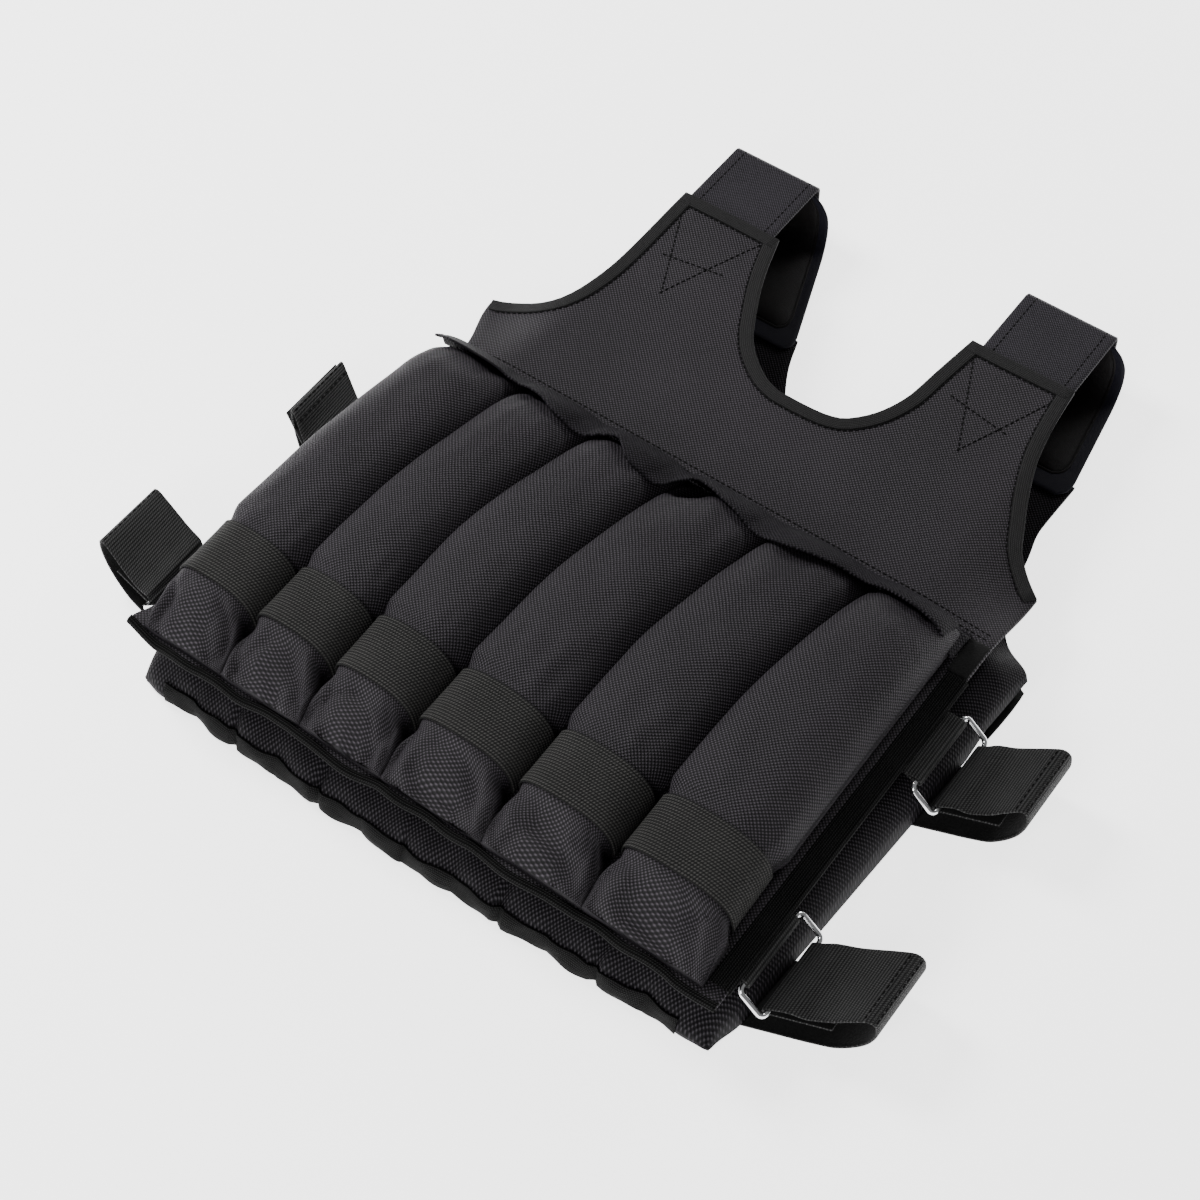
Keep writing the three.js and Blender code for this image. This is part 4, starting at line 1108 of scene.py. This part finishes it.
# Links: (node, its output, next node, its input)
STITCH_LINKS = [
    ("start", "Line", "curve", "Mesh"), ("start", "Stitch length", "pitch", 0),
    ("start", "Stitch gap", "pitch", 1), ("curve", "Curve", "even", "Curve"), ("pitch", 0, "even", "Length"),
    ("start", "Thread width", "size", "X"), ("start", "Thread width", "size", "Y"),
    ("start", "Stitch length", "size", "Z"), ("bead", "Mesh", "shaped", "Geometry"),
    ("size", "Vector", "shaped", "Scale"), ("tangent", "Tangent", "turn", "Vector"),
    ("even", "Curve", "place", "Points"), ("shaped", "Geometry", "place", "Instance"),
    ("turn", "Rotation", "place", "Rotation"), ("place", "Instances", "real", "Geometry"),
    ("real", "Geometry", "paint", "Geometry"), ("paint", "Geometry", "end", "Stitches"),
]


def stitch_tree(material, length, gap, width):
    """Sets a bead of thread at even steps along lines."""
    tree = bpy.data.node_groups.new("stitch_row", "GeometryNodeTree")
    face = tree.interface
    face.new_socket("Line", in_out="INPUT", socket_type="NodeSocketGeometry")
    for name, value in (("Stitch length", length), ("Stitch gap", gap), ("Thread width", width)):
        socket = face.new_socket(name, in_out="INPUT", socket_type="NodeSocketFloat")
        socket.default_value = value
    face.new_socket("Stitches", in_out="OUTPUT", socket_type="NodeSocketGeometry")
    nodes = {name: tree.nodes.new(kind) for name, kind in STITCH_NODES}
    nodes["pitch"].operation = "ADD"
    nodes["even"].mode = "LENGTH"
    nodes["turn"].axis = "Z"
    for socket, value in (("Segments", 6), ("Rings", 4), ("Radius", 0.5)):
        nodes["bead"].inputs[socket].default_value = value
    nodes["paint"].inputs["Material"].default_value = material
    for start, output, end, socket in STITCH_LINKS:
        tree.links.new(nodes[start].outputs[output], nodes[end].inputs[socket])
    return tree


def socket_id(tree, name):
    return [item.identifier for item in tree.interface.items_tree if item.name == name][0]


def stitch_rows(name, lines):
    """One plain mesh of stitches along the given lines, points in mm."""
    props = bpy.context.scene.vest_stitches
    points = []
    edges = []
    for line in lines:
        base = len(points)
        points += [((x + SHIFT_X) * MM, (y + SHIFT_Y) * MM, z * MM) for x, y, z in line]
        edges += [(base + i, base + i + 1) for i in range(len(line) - 1)]
    guide_mesh = bpy.data.meshes.new(name + "_line")
    guide_mesh.from_pydata(points, edges, [])
    guide = bpy.data.objects.new(name + "_line", guide_mesh)
    bpy.context.collection.objects.link(guide)
    tree = stitch_tree(looks()["thread"], props.length, props.gap, props.width)
    modifier = guide.modifiers.new("stitches", "NODES")
    modifier.node_group = tree
    for socket, value in (("Stitch length", props.length), ("Stitch gap", props.gap),
                          ("Thread width", props.width)):
        modifier[socket_id(tree, socket)] = value
    ready = guide.evaluated_get(bpy.context.evaluated_depsgraph_get())
    mesh = bpy.data.meshes.new_from_object(ready)
    mesh.name = name
    bpy.data.objects.remove(guide)
    bpy.data.node_groups.remove(tree)
    mesh.polygons.foreach_set("use_smooth", [True] * len(mesh.polygons))
    piece = bpy.data.objects.new(name, mesh)
    bpy.context.collection.objects.link(piece)
    finish_piece(piece, None)
    return piece


def on_front(points, lift=LIFT):
    points = np.asarray(points, float)
    x = points[:, 0]
    y = points[:, 1]
    z = front_height(x, y) + PANEL_CLOTH / 2 + lift
    return [(a + w, b, c) for a, b, c, w in zip(x, y, z, waist_pull(x, y))]


def inset_line(points, distance):
    """A line moved sideways by a distance, to the right of its direction."""
    points = np.asarray(points, float)
    tangent = np.gradient(points, axis=0)
    tangent /= np.maximum(np.linalg.norm(tangent, axis=1, keepdims=True), 1e-9)
    return points + distance * np.stack([tangent[:, 1], -tangent[:, 0]], axis=1)


def front_edges():
    """Top edges of the front panel from left to right, with the cloth on their right."""
    columns = front_outline()
    edges = {
        "neck": columns[np.abs(columns[:, 0]) <= NECK_WIDTH / 2 + 0.01],
        "left_arm": columns[columns[:, 0] <= -TABS_WIDTH / 2 + 0.01],
        "right_arm": columns[columns[:, 0] >= TABS_WIDTH / 2 - 0.01],
    }
    for name, side in SIDES:
        ends = sorted((side * NECK_WIDTH / 2, side * TABS_WIDTH / 2))
        edges[f"{name}_tab"] = np.array([(x, TAB_TOP_Y) for x in np.linspace(ends[0], ends[1], 14)])
    return edges


# Properties

class VestClothProperties(bpy.types.PropertyGroup):
    black: bpy.props.FloatVectorProperty(
        name="Black", description="Darkest tone of the cloth", subtype="COLOR", size=3, min=0, max=1,
        default=(0.002, 0.0018, 0.0024))
    highlight: bpy.props.FloatVectorProperty(
        # Tone of the raised yarn, a painted highlight on the weave's crowns.
        name="Highlight", description="Tone of the raised yarn", subtype="COLOR", size=3, min=0, max=1,
        default=(0.09, 0.079, 0.094))
    weave_pitch: bpy.props.FloatProperty(
        name="Weave pitch", description="Distance between crossing yarns", default=0.0013, unit="LENGTH")
    wrinkle: bpy.props.FloatProperty(
        name="Wrinkle depth", description="Depth of the small wrinkles in the pockets", default=0.0009,
        unit="LENGTH")


class VestStitchProperties(bpy.types.PropertyGroup):
    length: bpy.props.FloatProperty(
        name="Stitch length", description="Length of one stitch", default=0.0032, unit="LENGTH")
    gap: bpy.props.FloatProperty(
        name="Stitch gap", description="Gap between two stitches", default=0.0009, unit="LENGTH")
    width: bpy.props.FloatProperty(
        name="Thread width", description="Width of the thread", default=0.001, unit="LENGTH")


class VestStageProperties(bpy.types.PropertyGroup):
    lens: bpy.props.FloatProperty(name="Lens", description="Focal length in mm", default=73.8)
    camera_place: bpy.props.FloatVectorProperty(
        name="Camera", description="Where the camera stands", size=3, subtype="TRANSLATION",
        default=(0.5070, -0.78955, 1.2587))
    camera_target: bpy.props.FloatVectorProperty(
        name="Target", description="Point the camera looks at", size=3, subtype="TRANSLATION",
        default=(-0.0227, -0.0606, 0.0))
    floor: bpy.props.FloatVectorProperty(
        name="Floor colour", description="Colour of the plain floor", subtype="COLOR", size=3, min=0, max=1,
        default=(0.93, 0.93, 0.93))


# Operators, one for each group of pieces

class VEST_OT_stage(bpy.types.Operator):
    """Camera, pale floor and soft lights"""
    bl_idname = "vest.stage"
    bl_label = "Stage"

    def execute(self, context):
        props = context.scene.vest_stage
        camera_data = bpy.data.cameras.new("photo_camera")
        camera_data.lens = props.lens
        camera_data.sensor_width = SENSOR_WIDTH
        camera_data.sensor_fit = "HORIZONTAL"
        camera = self.aimed("photo_camera", camera_data, props.camera_place, props.camera_target)
        context.scene.camera = camera
        mesh = bpy.data.meshes.new("floor")
        corners = [(x * FLOOR_REACH, y * FLOOR_REACH, 0) for x, y in ((-1, -1), (1, -1), (1, 1), (-1, 1))]
        mesh.from_pydata(corners, [], [(0, 1, 2, 3)])
        mesh.materials.append(floor_material("pale_floor", tuple(props.floor)))
        floor = bpy.data.objects.new("floor", mesh)
        context.collection.objects.link(floor)
        world = bpy.data.worlds.new("pale_studio")
        world.use_nodes = True
        background = world.node_tree.nodes["Background"]
        background.inputs["Color"].default_value = grey(1.0)
        background.inputs["Strength"].default_value = WORLD_STRENGTH
        context.scene.world = world
        for name, place, size, power in LIGHTS:
            data = bpy.data.lights.new(name, "AREA")
            data.shape = "SQUARE"
            data.size = size
            data.energy = power
            self.aimed(name, data, place, (0.0, 0.0, 0.0))
        return {"FINISHED"}

    def aimed(self, name, data, place, target):
        """Adds a camera or light at its place, turned towards the target."""
        made = bpy.data.objects.new(name, data)
        made.location = Vector(place)
        aim = Vector(target) - Vector(place)
        made.rotation_euler = aim.to_track_quat("-Z", "Y").to_euler()
        bpy.context.collection.objects.link(made)
        return made


class VEST_OT_panels(bpy.types.Operator):
    """Front and back panels"""
    bl_idname = "vest.panels"
    bl_label = "Panels"

    def execute(self, context):
        add_cloth("front_panel_cloth", front_panel_grid(), PANEL_CLOTH, "oxford", "front_panel", "oxford",
                  "laid", ["back_panel"], FRONT_WIDTH_ROW, level=True)
        # The back panel takes the darker oxford copy, painted shade.
        add_cloth("back_panel_cloth", back_panel_grid(), PANEL_CLOTH, "shaded_oxford", "back_panel", "oxford",
                  "laid", [], BACK_WIDTH_ROW, level=True)
        return {"FINISHED"}


class VEST_OT_pockets(bpy.types.Operator):
    """Filled pockets of both rows"""
    bl_idname = "vest.pockets"
    bl_label = "Pockets"

    def execute(self, context):
        depth = context.scene.vest_cloth.wrinkle * 1000
        along = np.linspace(0, 1, 96)[:, None]
        turn = np.linspace(0, 2 * math.pi, 64, endpoint=False)[None, :]
        for index in range(POCKET_COUNT):
            rings = front_pocket_surface(index, along, turn)
            self.pocket("front", index, self.wrinkle(rings, along, turn, depth, index))
            self.pocket("back", index, back_pocket_surface(index, along, turn))
        return {"FINISHED"}

    def pocket(self, row, index, rings):
        piece = loft(f"{row}_pocket_cloth_{index + 1}", rings, looks()["pocket"])
        finish_piece(piece, f"{row}_pocket_{index + 1}")

    def wrinkle(self, rings, along, turn, depth, index):
        """Small drags in the cloth, strongest near the band and the top, none on the underside."""
        up = np.clip(np.sin(turn) + 0.3, 0, 1)
        small = hash_noise(rings * WRINKLE_STRETCH, WRINKLE_SIZE, index + 1)
        large = hash_noise(rings, DENT_SIZE, index + 11)
        banded = smooth(along, 0.09, 0.11) * (1 - smooth(along, 0.26, 0.29))
        near = 0.5 + smooth(along, 0.24, 0.3) * (1 - smooth(along, 0.3, 0.5)) + smooth(along, 0.75, 0.95)
        low = 1 - smooth(along, 0.0, 0.12)
        moved = rings.copy()
        moved[..., 2] += depth * (small * (near + 4.5 * low) + 1.6 * large) * up * (1 - banded)
        moved[..., 2] = np.maximum(moved[..., 2], POCKET_BASE)
        return moved


class VEST_OT_bands(bpy.types.Operator):
    """Elastic bands round the pockets' lower ends"""
    bl_idname = "vest.bands"
    bl_label = "Elastic bands"

    def execute(self, context):
        for index in range(POCKET_COUNT):
            self.band(index, "front", front_pocket_surface, 1)
            self.band(index, "back", back_pocket_surface, -1)
        return {"FINISHED"}

    def band(self, index, row, surface, half):
        start = (BAND_Y - BAND_WIDTH / 2 - POCKET_START_Y) / POCKET_LENGTH
        end = (BAND_Y + BAND_WIDTH / 2 - POCKET_START_Y) / POCKET_LENGTH
        along = np.linspace(start, end, 20)[:, None]
        turn = half * np.linspace(-BAND_WRAP + BAND_END_GAP, math.pi + BAND_WRAP - BAND_END_GAP, 60)[None, :]
        grid = surface(index, along, turn, SEAT + BAND_CLOTH / 2)
        add_cloth(f"{row}_band_cloth_{index + 1}", grid, BAND_CLOTH, "elastic", f"{row}_band_{index + 1}",
                  "elastic", "stretched", [f"{row}_pocket_{index + 1}"], turned=True)


class VEST_OT_flaps(bpy.types.Operator):
    """Flaps over the pockets' tops and the closing patch"""
    bl_idname = "vest.flaps"
    bl_label = "Flaps"

    def execute(self, context):
        # The flap takes the darker oxford copy, painted shade.
        add_cloth("front_flap_cloth", flap_grid(), FLAP_EDGE, "flap", "front_flap", "oxford", "hung",
                  ["front_panel"], level=True)
        add_cloth("back_flap_cloth", back_flap_grid(), FLAP_CLOTH, "pile", "back_flap", "hook_cloth", "hung",
                  ["back_panel"])
        edge = PANEL_WIDTH / 2 - SEAT
        x = np.linspace(edge, edge - PATCH_WIDTH, 10)
        lift = PANEL_CLOTH / 2 + TAPE_CLOTH / 2 + SEAT
        heights = np.linspace(WAIST_START_Y, WAIST_START_Y + PATCH_LENGTH, 16)
        grid = np.array([points_at(x, y, front_height(x, y) + lift) for y in heights])
        add_cloth("closure_patch_pile", grid, TAPE_CLOTH, "pile", "closure_patch", "hook_cloth", "laid",
                  ["front_panel"])
        return {"FINISHED"}


class VEST_OT_tapes(bpy.types.Operator):
    """Hem tapes and side bindings"""
    bl_idname = "vest.tapes"
    bl_label = "Tapes"

    def execute(self, context):
        x = np.linspace(-PANEL_WIDTH / 2, PANEL_WIDTH / 2, 240)
        out, along, up = hem_ripple(x)
        edge = [(point, (0, 1, 0)) for point in zip(x + out, HEM_Y + along, FRONT_LEVEL + up)]
        self.wrapped("front_hem_cloth", edge, HEM_WIDTH, "front_hem_tape")
        heights = np.linspace(HEM_Y + TAPE_WIDTH + TAPE_CLOTH, WAIST_START_Y - TAPE_CLOTH, 50)
        for name, side in SIDES:
            edge = [((side * PANEL_WIDTH / 2, y, FRONT_LEVEL), (-side, 0, 0)) for y in heights]
            self.wrapped(f"front_binding_cloth_{name}", edge, BINDING_WIDTH, f"front_binding_{name}")
        for name, line in front_edges().items():
            rows = [on_front(inset_line(line, inset), EDGING_CLOTH / 2 + LIFT) for inset in EDGING_INSETS]
            add_cloth(f"front_edging_{name}", np.array(rows), EDGING_CLOTH, "edging", None, "webbing",
                      turned=True)
        panel = back_panel_grid()
        half = BACK_WIDTH / 2 - SIDE_ROLL
        inside = [c for c in range(panel.shape[1]) if abs(panel[0, c, 0]) < half]
        stand = PANEL_CLOTH / 2 + SEAT + TAPE_CLOTH / 2
        grid = (panel + surface_normals(panel) * stand)[:HEM_TAPE_ROWS][:, inside]
        add_cloth("back_hem_cloth", grid, TAPE_CLOTH, "tape", "back_hem_tape", "webbing", "laid",
                  ["back_panel"], turned=True)
        return {"FINISHED"}

    def wrapped(self, name, edge, width, node):
        """Tape folded round an edge, given as points with the direction into the cloth."""
        reach = PANEL_CLOTH / 2 + SEAT + TAPE_CLOTH / 2
        wrap = [(width, 1.0), (width * 0.5, 1.05), (0, 1.0)]
        wrap += [(-reach * 0.85 * math.sin(a), math.cos(a)) for a in np.radians(np.linspace(25, 155, 7))]
        wrap += [(0, -1.0), (width * 0.5, -1.0), (width, -1.0)]
        rows = []
        for (x, y, z), (ix, iy, iz) in edge:
            rows.append([(x + ix * into, y + iy * into, z + off * reach) for into, off in wrap])
        add_cloth(name, np.array(rows), TAPE_CLOTH, "tape", node, "webbing", "folded", ["front_panel"])


class VEST_OT_shoulders(bpy.types.Operator):
    """Shoulder straps and pads"""
    bl_idname = "vest.shoulders"
    bl_label = "Shoulders"

    def execute(self, context):
        for name, side in SIDES:
            add_cloth(f"shoulder_strap_cloth_{name}", shoulder_strap_grid(side), PANEL_CLOTH, "strap",
                      f"shoulder_strap_{name}", "oxford", "folded", [f"shoulder_pad_{name}"])
            self.pad(name, side)
        return {"FINISHED"}

    def pad(self, name, side):
        grid = pad_grid(side, inset=FLANGE_WIDTH)
        rows, columns = grid.shape[:2]
        across = np.linspace(-1, 1, columns)[None, :]
        along = np.linspace(-1, 1, rows)[:, None]
        crown = (1 - np.abs(across) ** 4) * (1 - np.abs(along) ** 10)
        half = PAD_RIM + (PAD_THICKNESS / 2 - PAD_RIM) * crown[..., None]
        offset = surface_normals(grid) * half
        points = np.concatenate([(grid + offset).reshape(-1, 3), (grid - offset).reshape(-1, 3)])
        faces = both_faces(rows, columns)
        under = rows * columns
        rim = [r * columns + c for r, c in rim_of(rows, columns)]
        for i, here in enumerate(rim):
            there = rim[(i + 1) % len(rim)]
            faces.append((here, under + here, under + there, there))
        u, v = grid_lengths(grid)
        flat = [(u[c], v[r]) for r in range(rows) for c in range(columns)]
        piece = new_piece(f"shoulder_pad_cloth_{name}", points, faces, looks()["pad"], flat + flat)
        finish_piece(piece, f"shoulder_pad_{name}")
        flange = pad_grid(side, inset=FLANGE_INSET, columns=31, overlap=PAD_OVERLAP)
        add_cloth(f"pad_flange_{name}", flange, FLANGE_CLOTH, "navy", None, "pad_cloth", "folded",
                  [f"shoulder_pad_{name}"], FLANGE_WIDTH_ROW)
        seam = np.concatenate([grid[:, 0], grid[-1, 1:], grid[-2::-1, -1], grid[0, -2::-1]])
        piping = tube_along(f"pad_piping_{name}", seam, PIPING_RADIUS, looks()["pad"])
        finish_piece(piping, None)


class VEST_OT_side_straps(bpy.types.Operator):
    """Side straps, rings and ring tabs"""
    bl_idname = "vest.side_straps"
    bl_label = "Side straps"

    def execute(self, context):
        for name, side, bar, reach, ring_y, fold_y in SIDE_STRAPS:
            add_cloth(f"side_strap_cloth_{name}", side_strap_grid(side, bar, reach, ring_y, fold_y),
                      WEBBING_CLOTH, "webbing", f"side_strap_{name}", "webbing", "folded", [f"ring_{name}"],
                      turned=True, pile=looks()["pile"], pile_above=side < 0)
            piece = loft(f"ring_wire_{name}", ring_rings(side, bar, ring_y), looks()["chrome"], hoop=True)
            finish_piece(piece, f"ring_{name}")
            add_cloth(f"ring_tab_cloth_{name}", ring_tab_grid(side, bar, ring_y), WEBBING_CLOTH, "webbing",
                      f"ring_tab_{name}", "webbing", "folded", [f"ring_{name}"], turned=True)
        return {"FINISHED"}


class VEST_OT_stitches(bpy.types.Operator):
    """Stitch rows along hems, tabs and straps"""
    bl_idname = "vest.stitches"
    bl_label = "Stitches"

    def execute(self, context):
        stitch_rows("front_panel_stitches", self.front_lines())
        stitch_rows("shoulder_strap_stitches", self.shoulder_lines())
        stitch_rows("side_strap_stitches", self.strap_lines())
        return {"FINISHED"}

    def front_lines(self):
        lines = []
        for edge in front_edges().values():
            lines.append(on_front(inset_line(edge, EDGING_INSETS[-1] + 0.8)[1:-1], STITCH_LIFT))
        shares = np.linspace(0, 1, 16)
        for side in (-1, 1):
            middle = side * (NECK_WIDTH + TABS_WIDTH) / 4
            for start, end in TAB_STITCHES:
                x = middle + side * lerp(start[0], end[0], shares)
                lines.append(on_front(list(zip(x, TAB_TOP_Y - lerp(start[1], end[1], shares))), STITCH_LIFT))
        for offset in FLAP_STITCH_OFFSETS:
            lines.append(on_front([(x, FLAP_SEAM_Y + offset) for x in np.linspace(*FLAP_STITCH_ENDS, 60)]))
        heights = np.linspace(HEM_Y + BINDING_WIDTH, WAIST_START_Y - 3, 60)
        for side in (-1, 1):
            for inset in BINDING_STITCH_INSETS:
                x = side * (PANEL_WIDTH / 2 - inset)
                lines.append(on_front([(x, y) for y in heights], SEAT + TAPE_CLOTH + STITCH_LIFT))
        return lines

    def shoulder_lines(self):
        lines = []
        for side in (-1, 1):
            grid = shoulder_strap_grid(side)
            top = grid + surface_normals(grid) * (PANEL_CLOTH / 2 + LIFT)
            for column in SHOULDER_STITCH_COLUMNS:
                lines.append([tuple(p) for p in top[12:40, column]])
        return lines

    def strap_lines(self):
        lines = []
        for name, side, bar, reach, ring_y, fold_y in SIDE_STRAPS:
            grid = side_strap_grid(side, bar, reach, ring_y, fold_y)
            normals = surface_normals(grid)
            for sign in (1, -1):
                faced = grid + normals * sign * (WEBBING_CLOTH / 2 + LIFT)
                for row in STRAP_STITCH_ROWS:
                    lines.append([tuple(p) for p in faced[row, 1:-1]])
        return lines


class VEST_PT_panel(bpy.types.Panel):
    """Lists the vest's operators"""
    bl_idname = "VEST_PT_panel"
    bl_label = "Weighted vest"
    bl_space_type = "VIEW_3D"
    bl_region_type = "UI"
    bl_category = "Vest"

    def draw(self, context):
        for operator in OPERATORS:
            self.layout.operator(operator.bl_idname)


OPERATORS = (
    VEST_OT_stage,
    VEST_OT_panels,
    VEST_OT_pockets,
    VEST_OT_bands,
    VEST_OT_flaps,
    VEST_OT_tapes,
    VEST_OT_shoulders,
    VEST_OT_side_straps,
    VEST_OT_stitches,
)
CLASSES = (VestClothProperties, VestStitchProperties, VestStageProperties) + OPERATORS + (VEST_PT_panel,)


def register():
    for item in CLASSES:
        bpy.utils.register_class(item)
    bpy.types.Scene.vest_cloth = bpy.props.PointerProperty(type=VestClothProperties)
    bpy.types.Scene.vest_stitches = bpy.props.PointerProperty(type=VestStitchProperties)
    bpy.types.Scene.vest_stage = bpy.props.PointerProperty(type=VestStageProperties)


def unregister():
    del bpy.types.Scene.vest_stage
    del bpy.types.Scene.vest_stitches
    del bpy.types.Scene.vest_cloth
    for item in reversed(CLASSES):
        bpy.utils.unregister_class(item)


def main():
    register()
    for operator in OPERATORS:
        group, name = operator.bl_idname.split(".")
        getattr(getattr(bpy.ops, group), name)()
    bpy.context.view_layer.update()


if __name__ == "__main__":
    main()
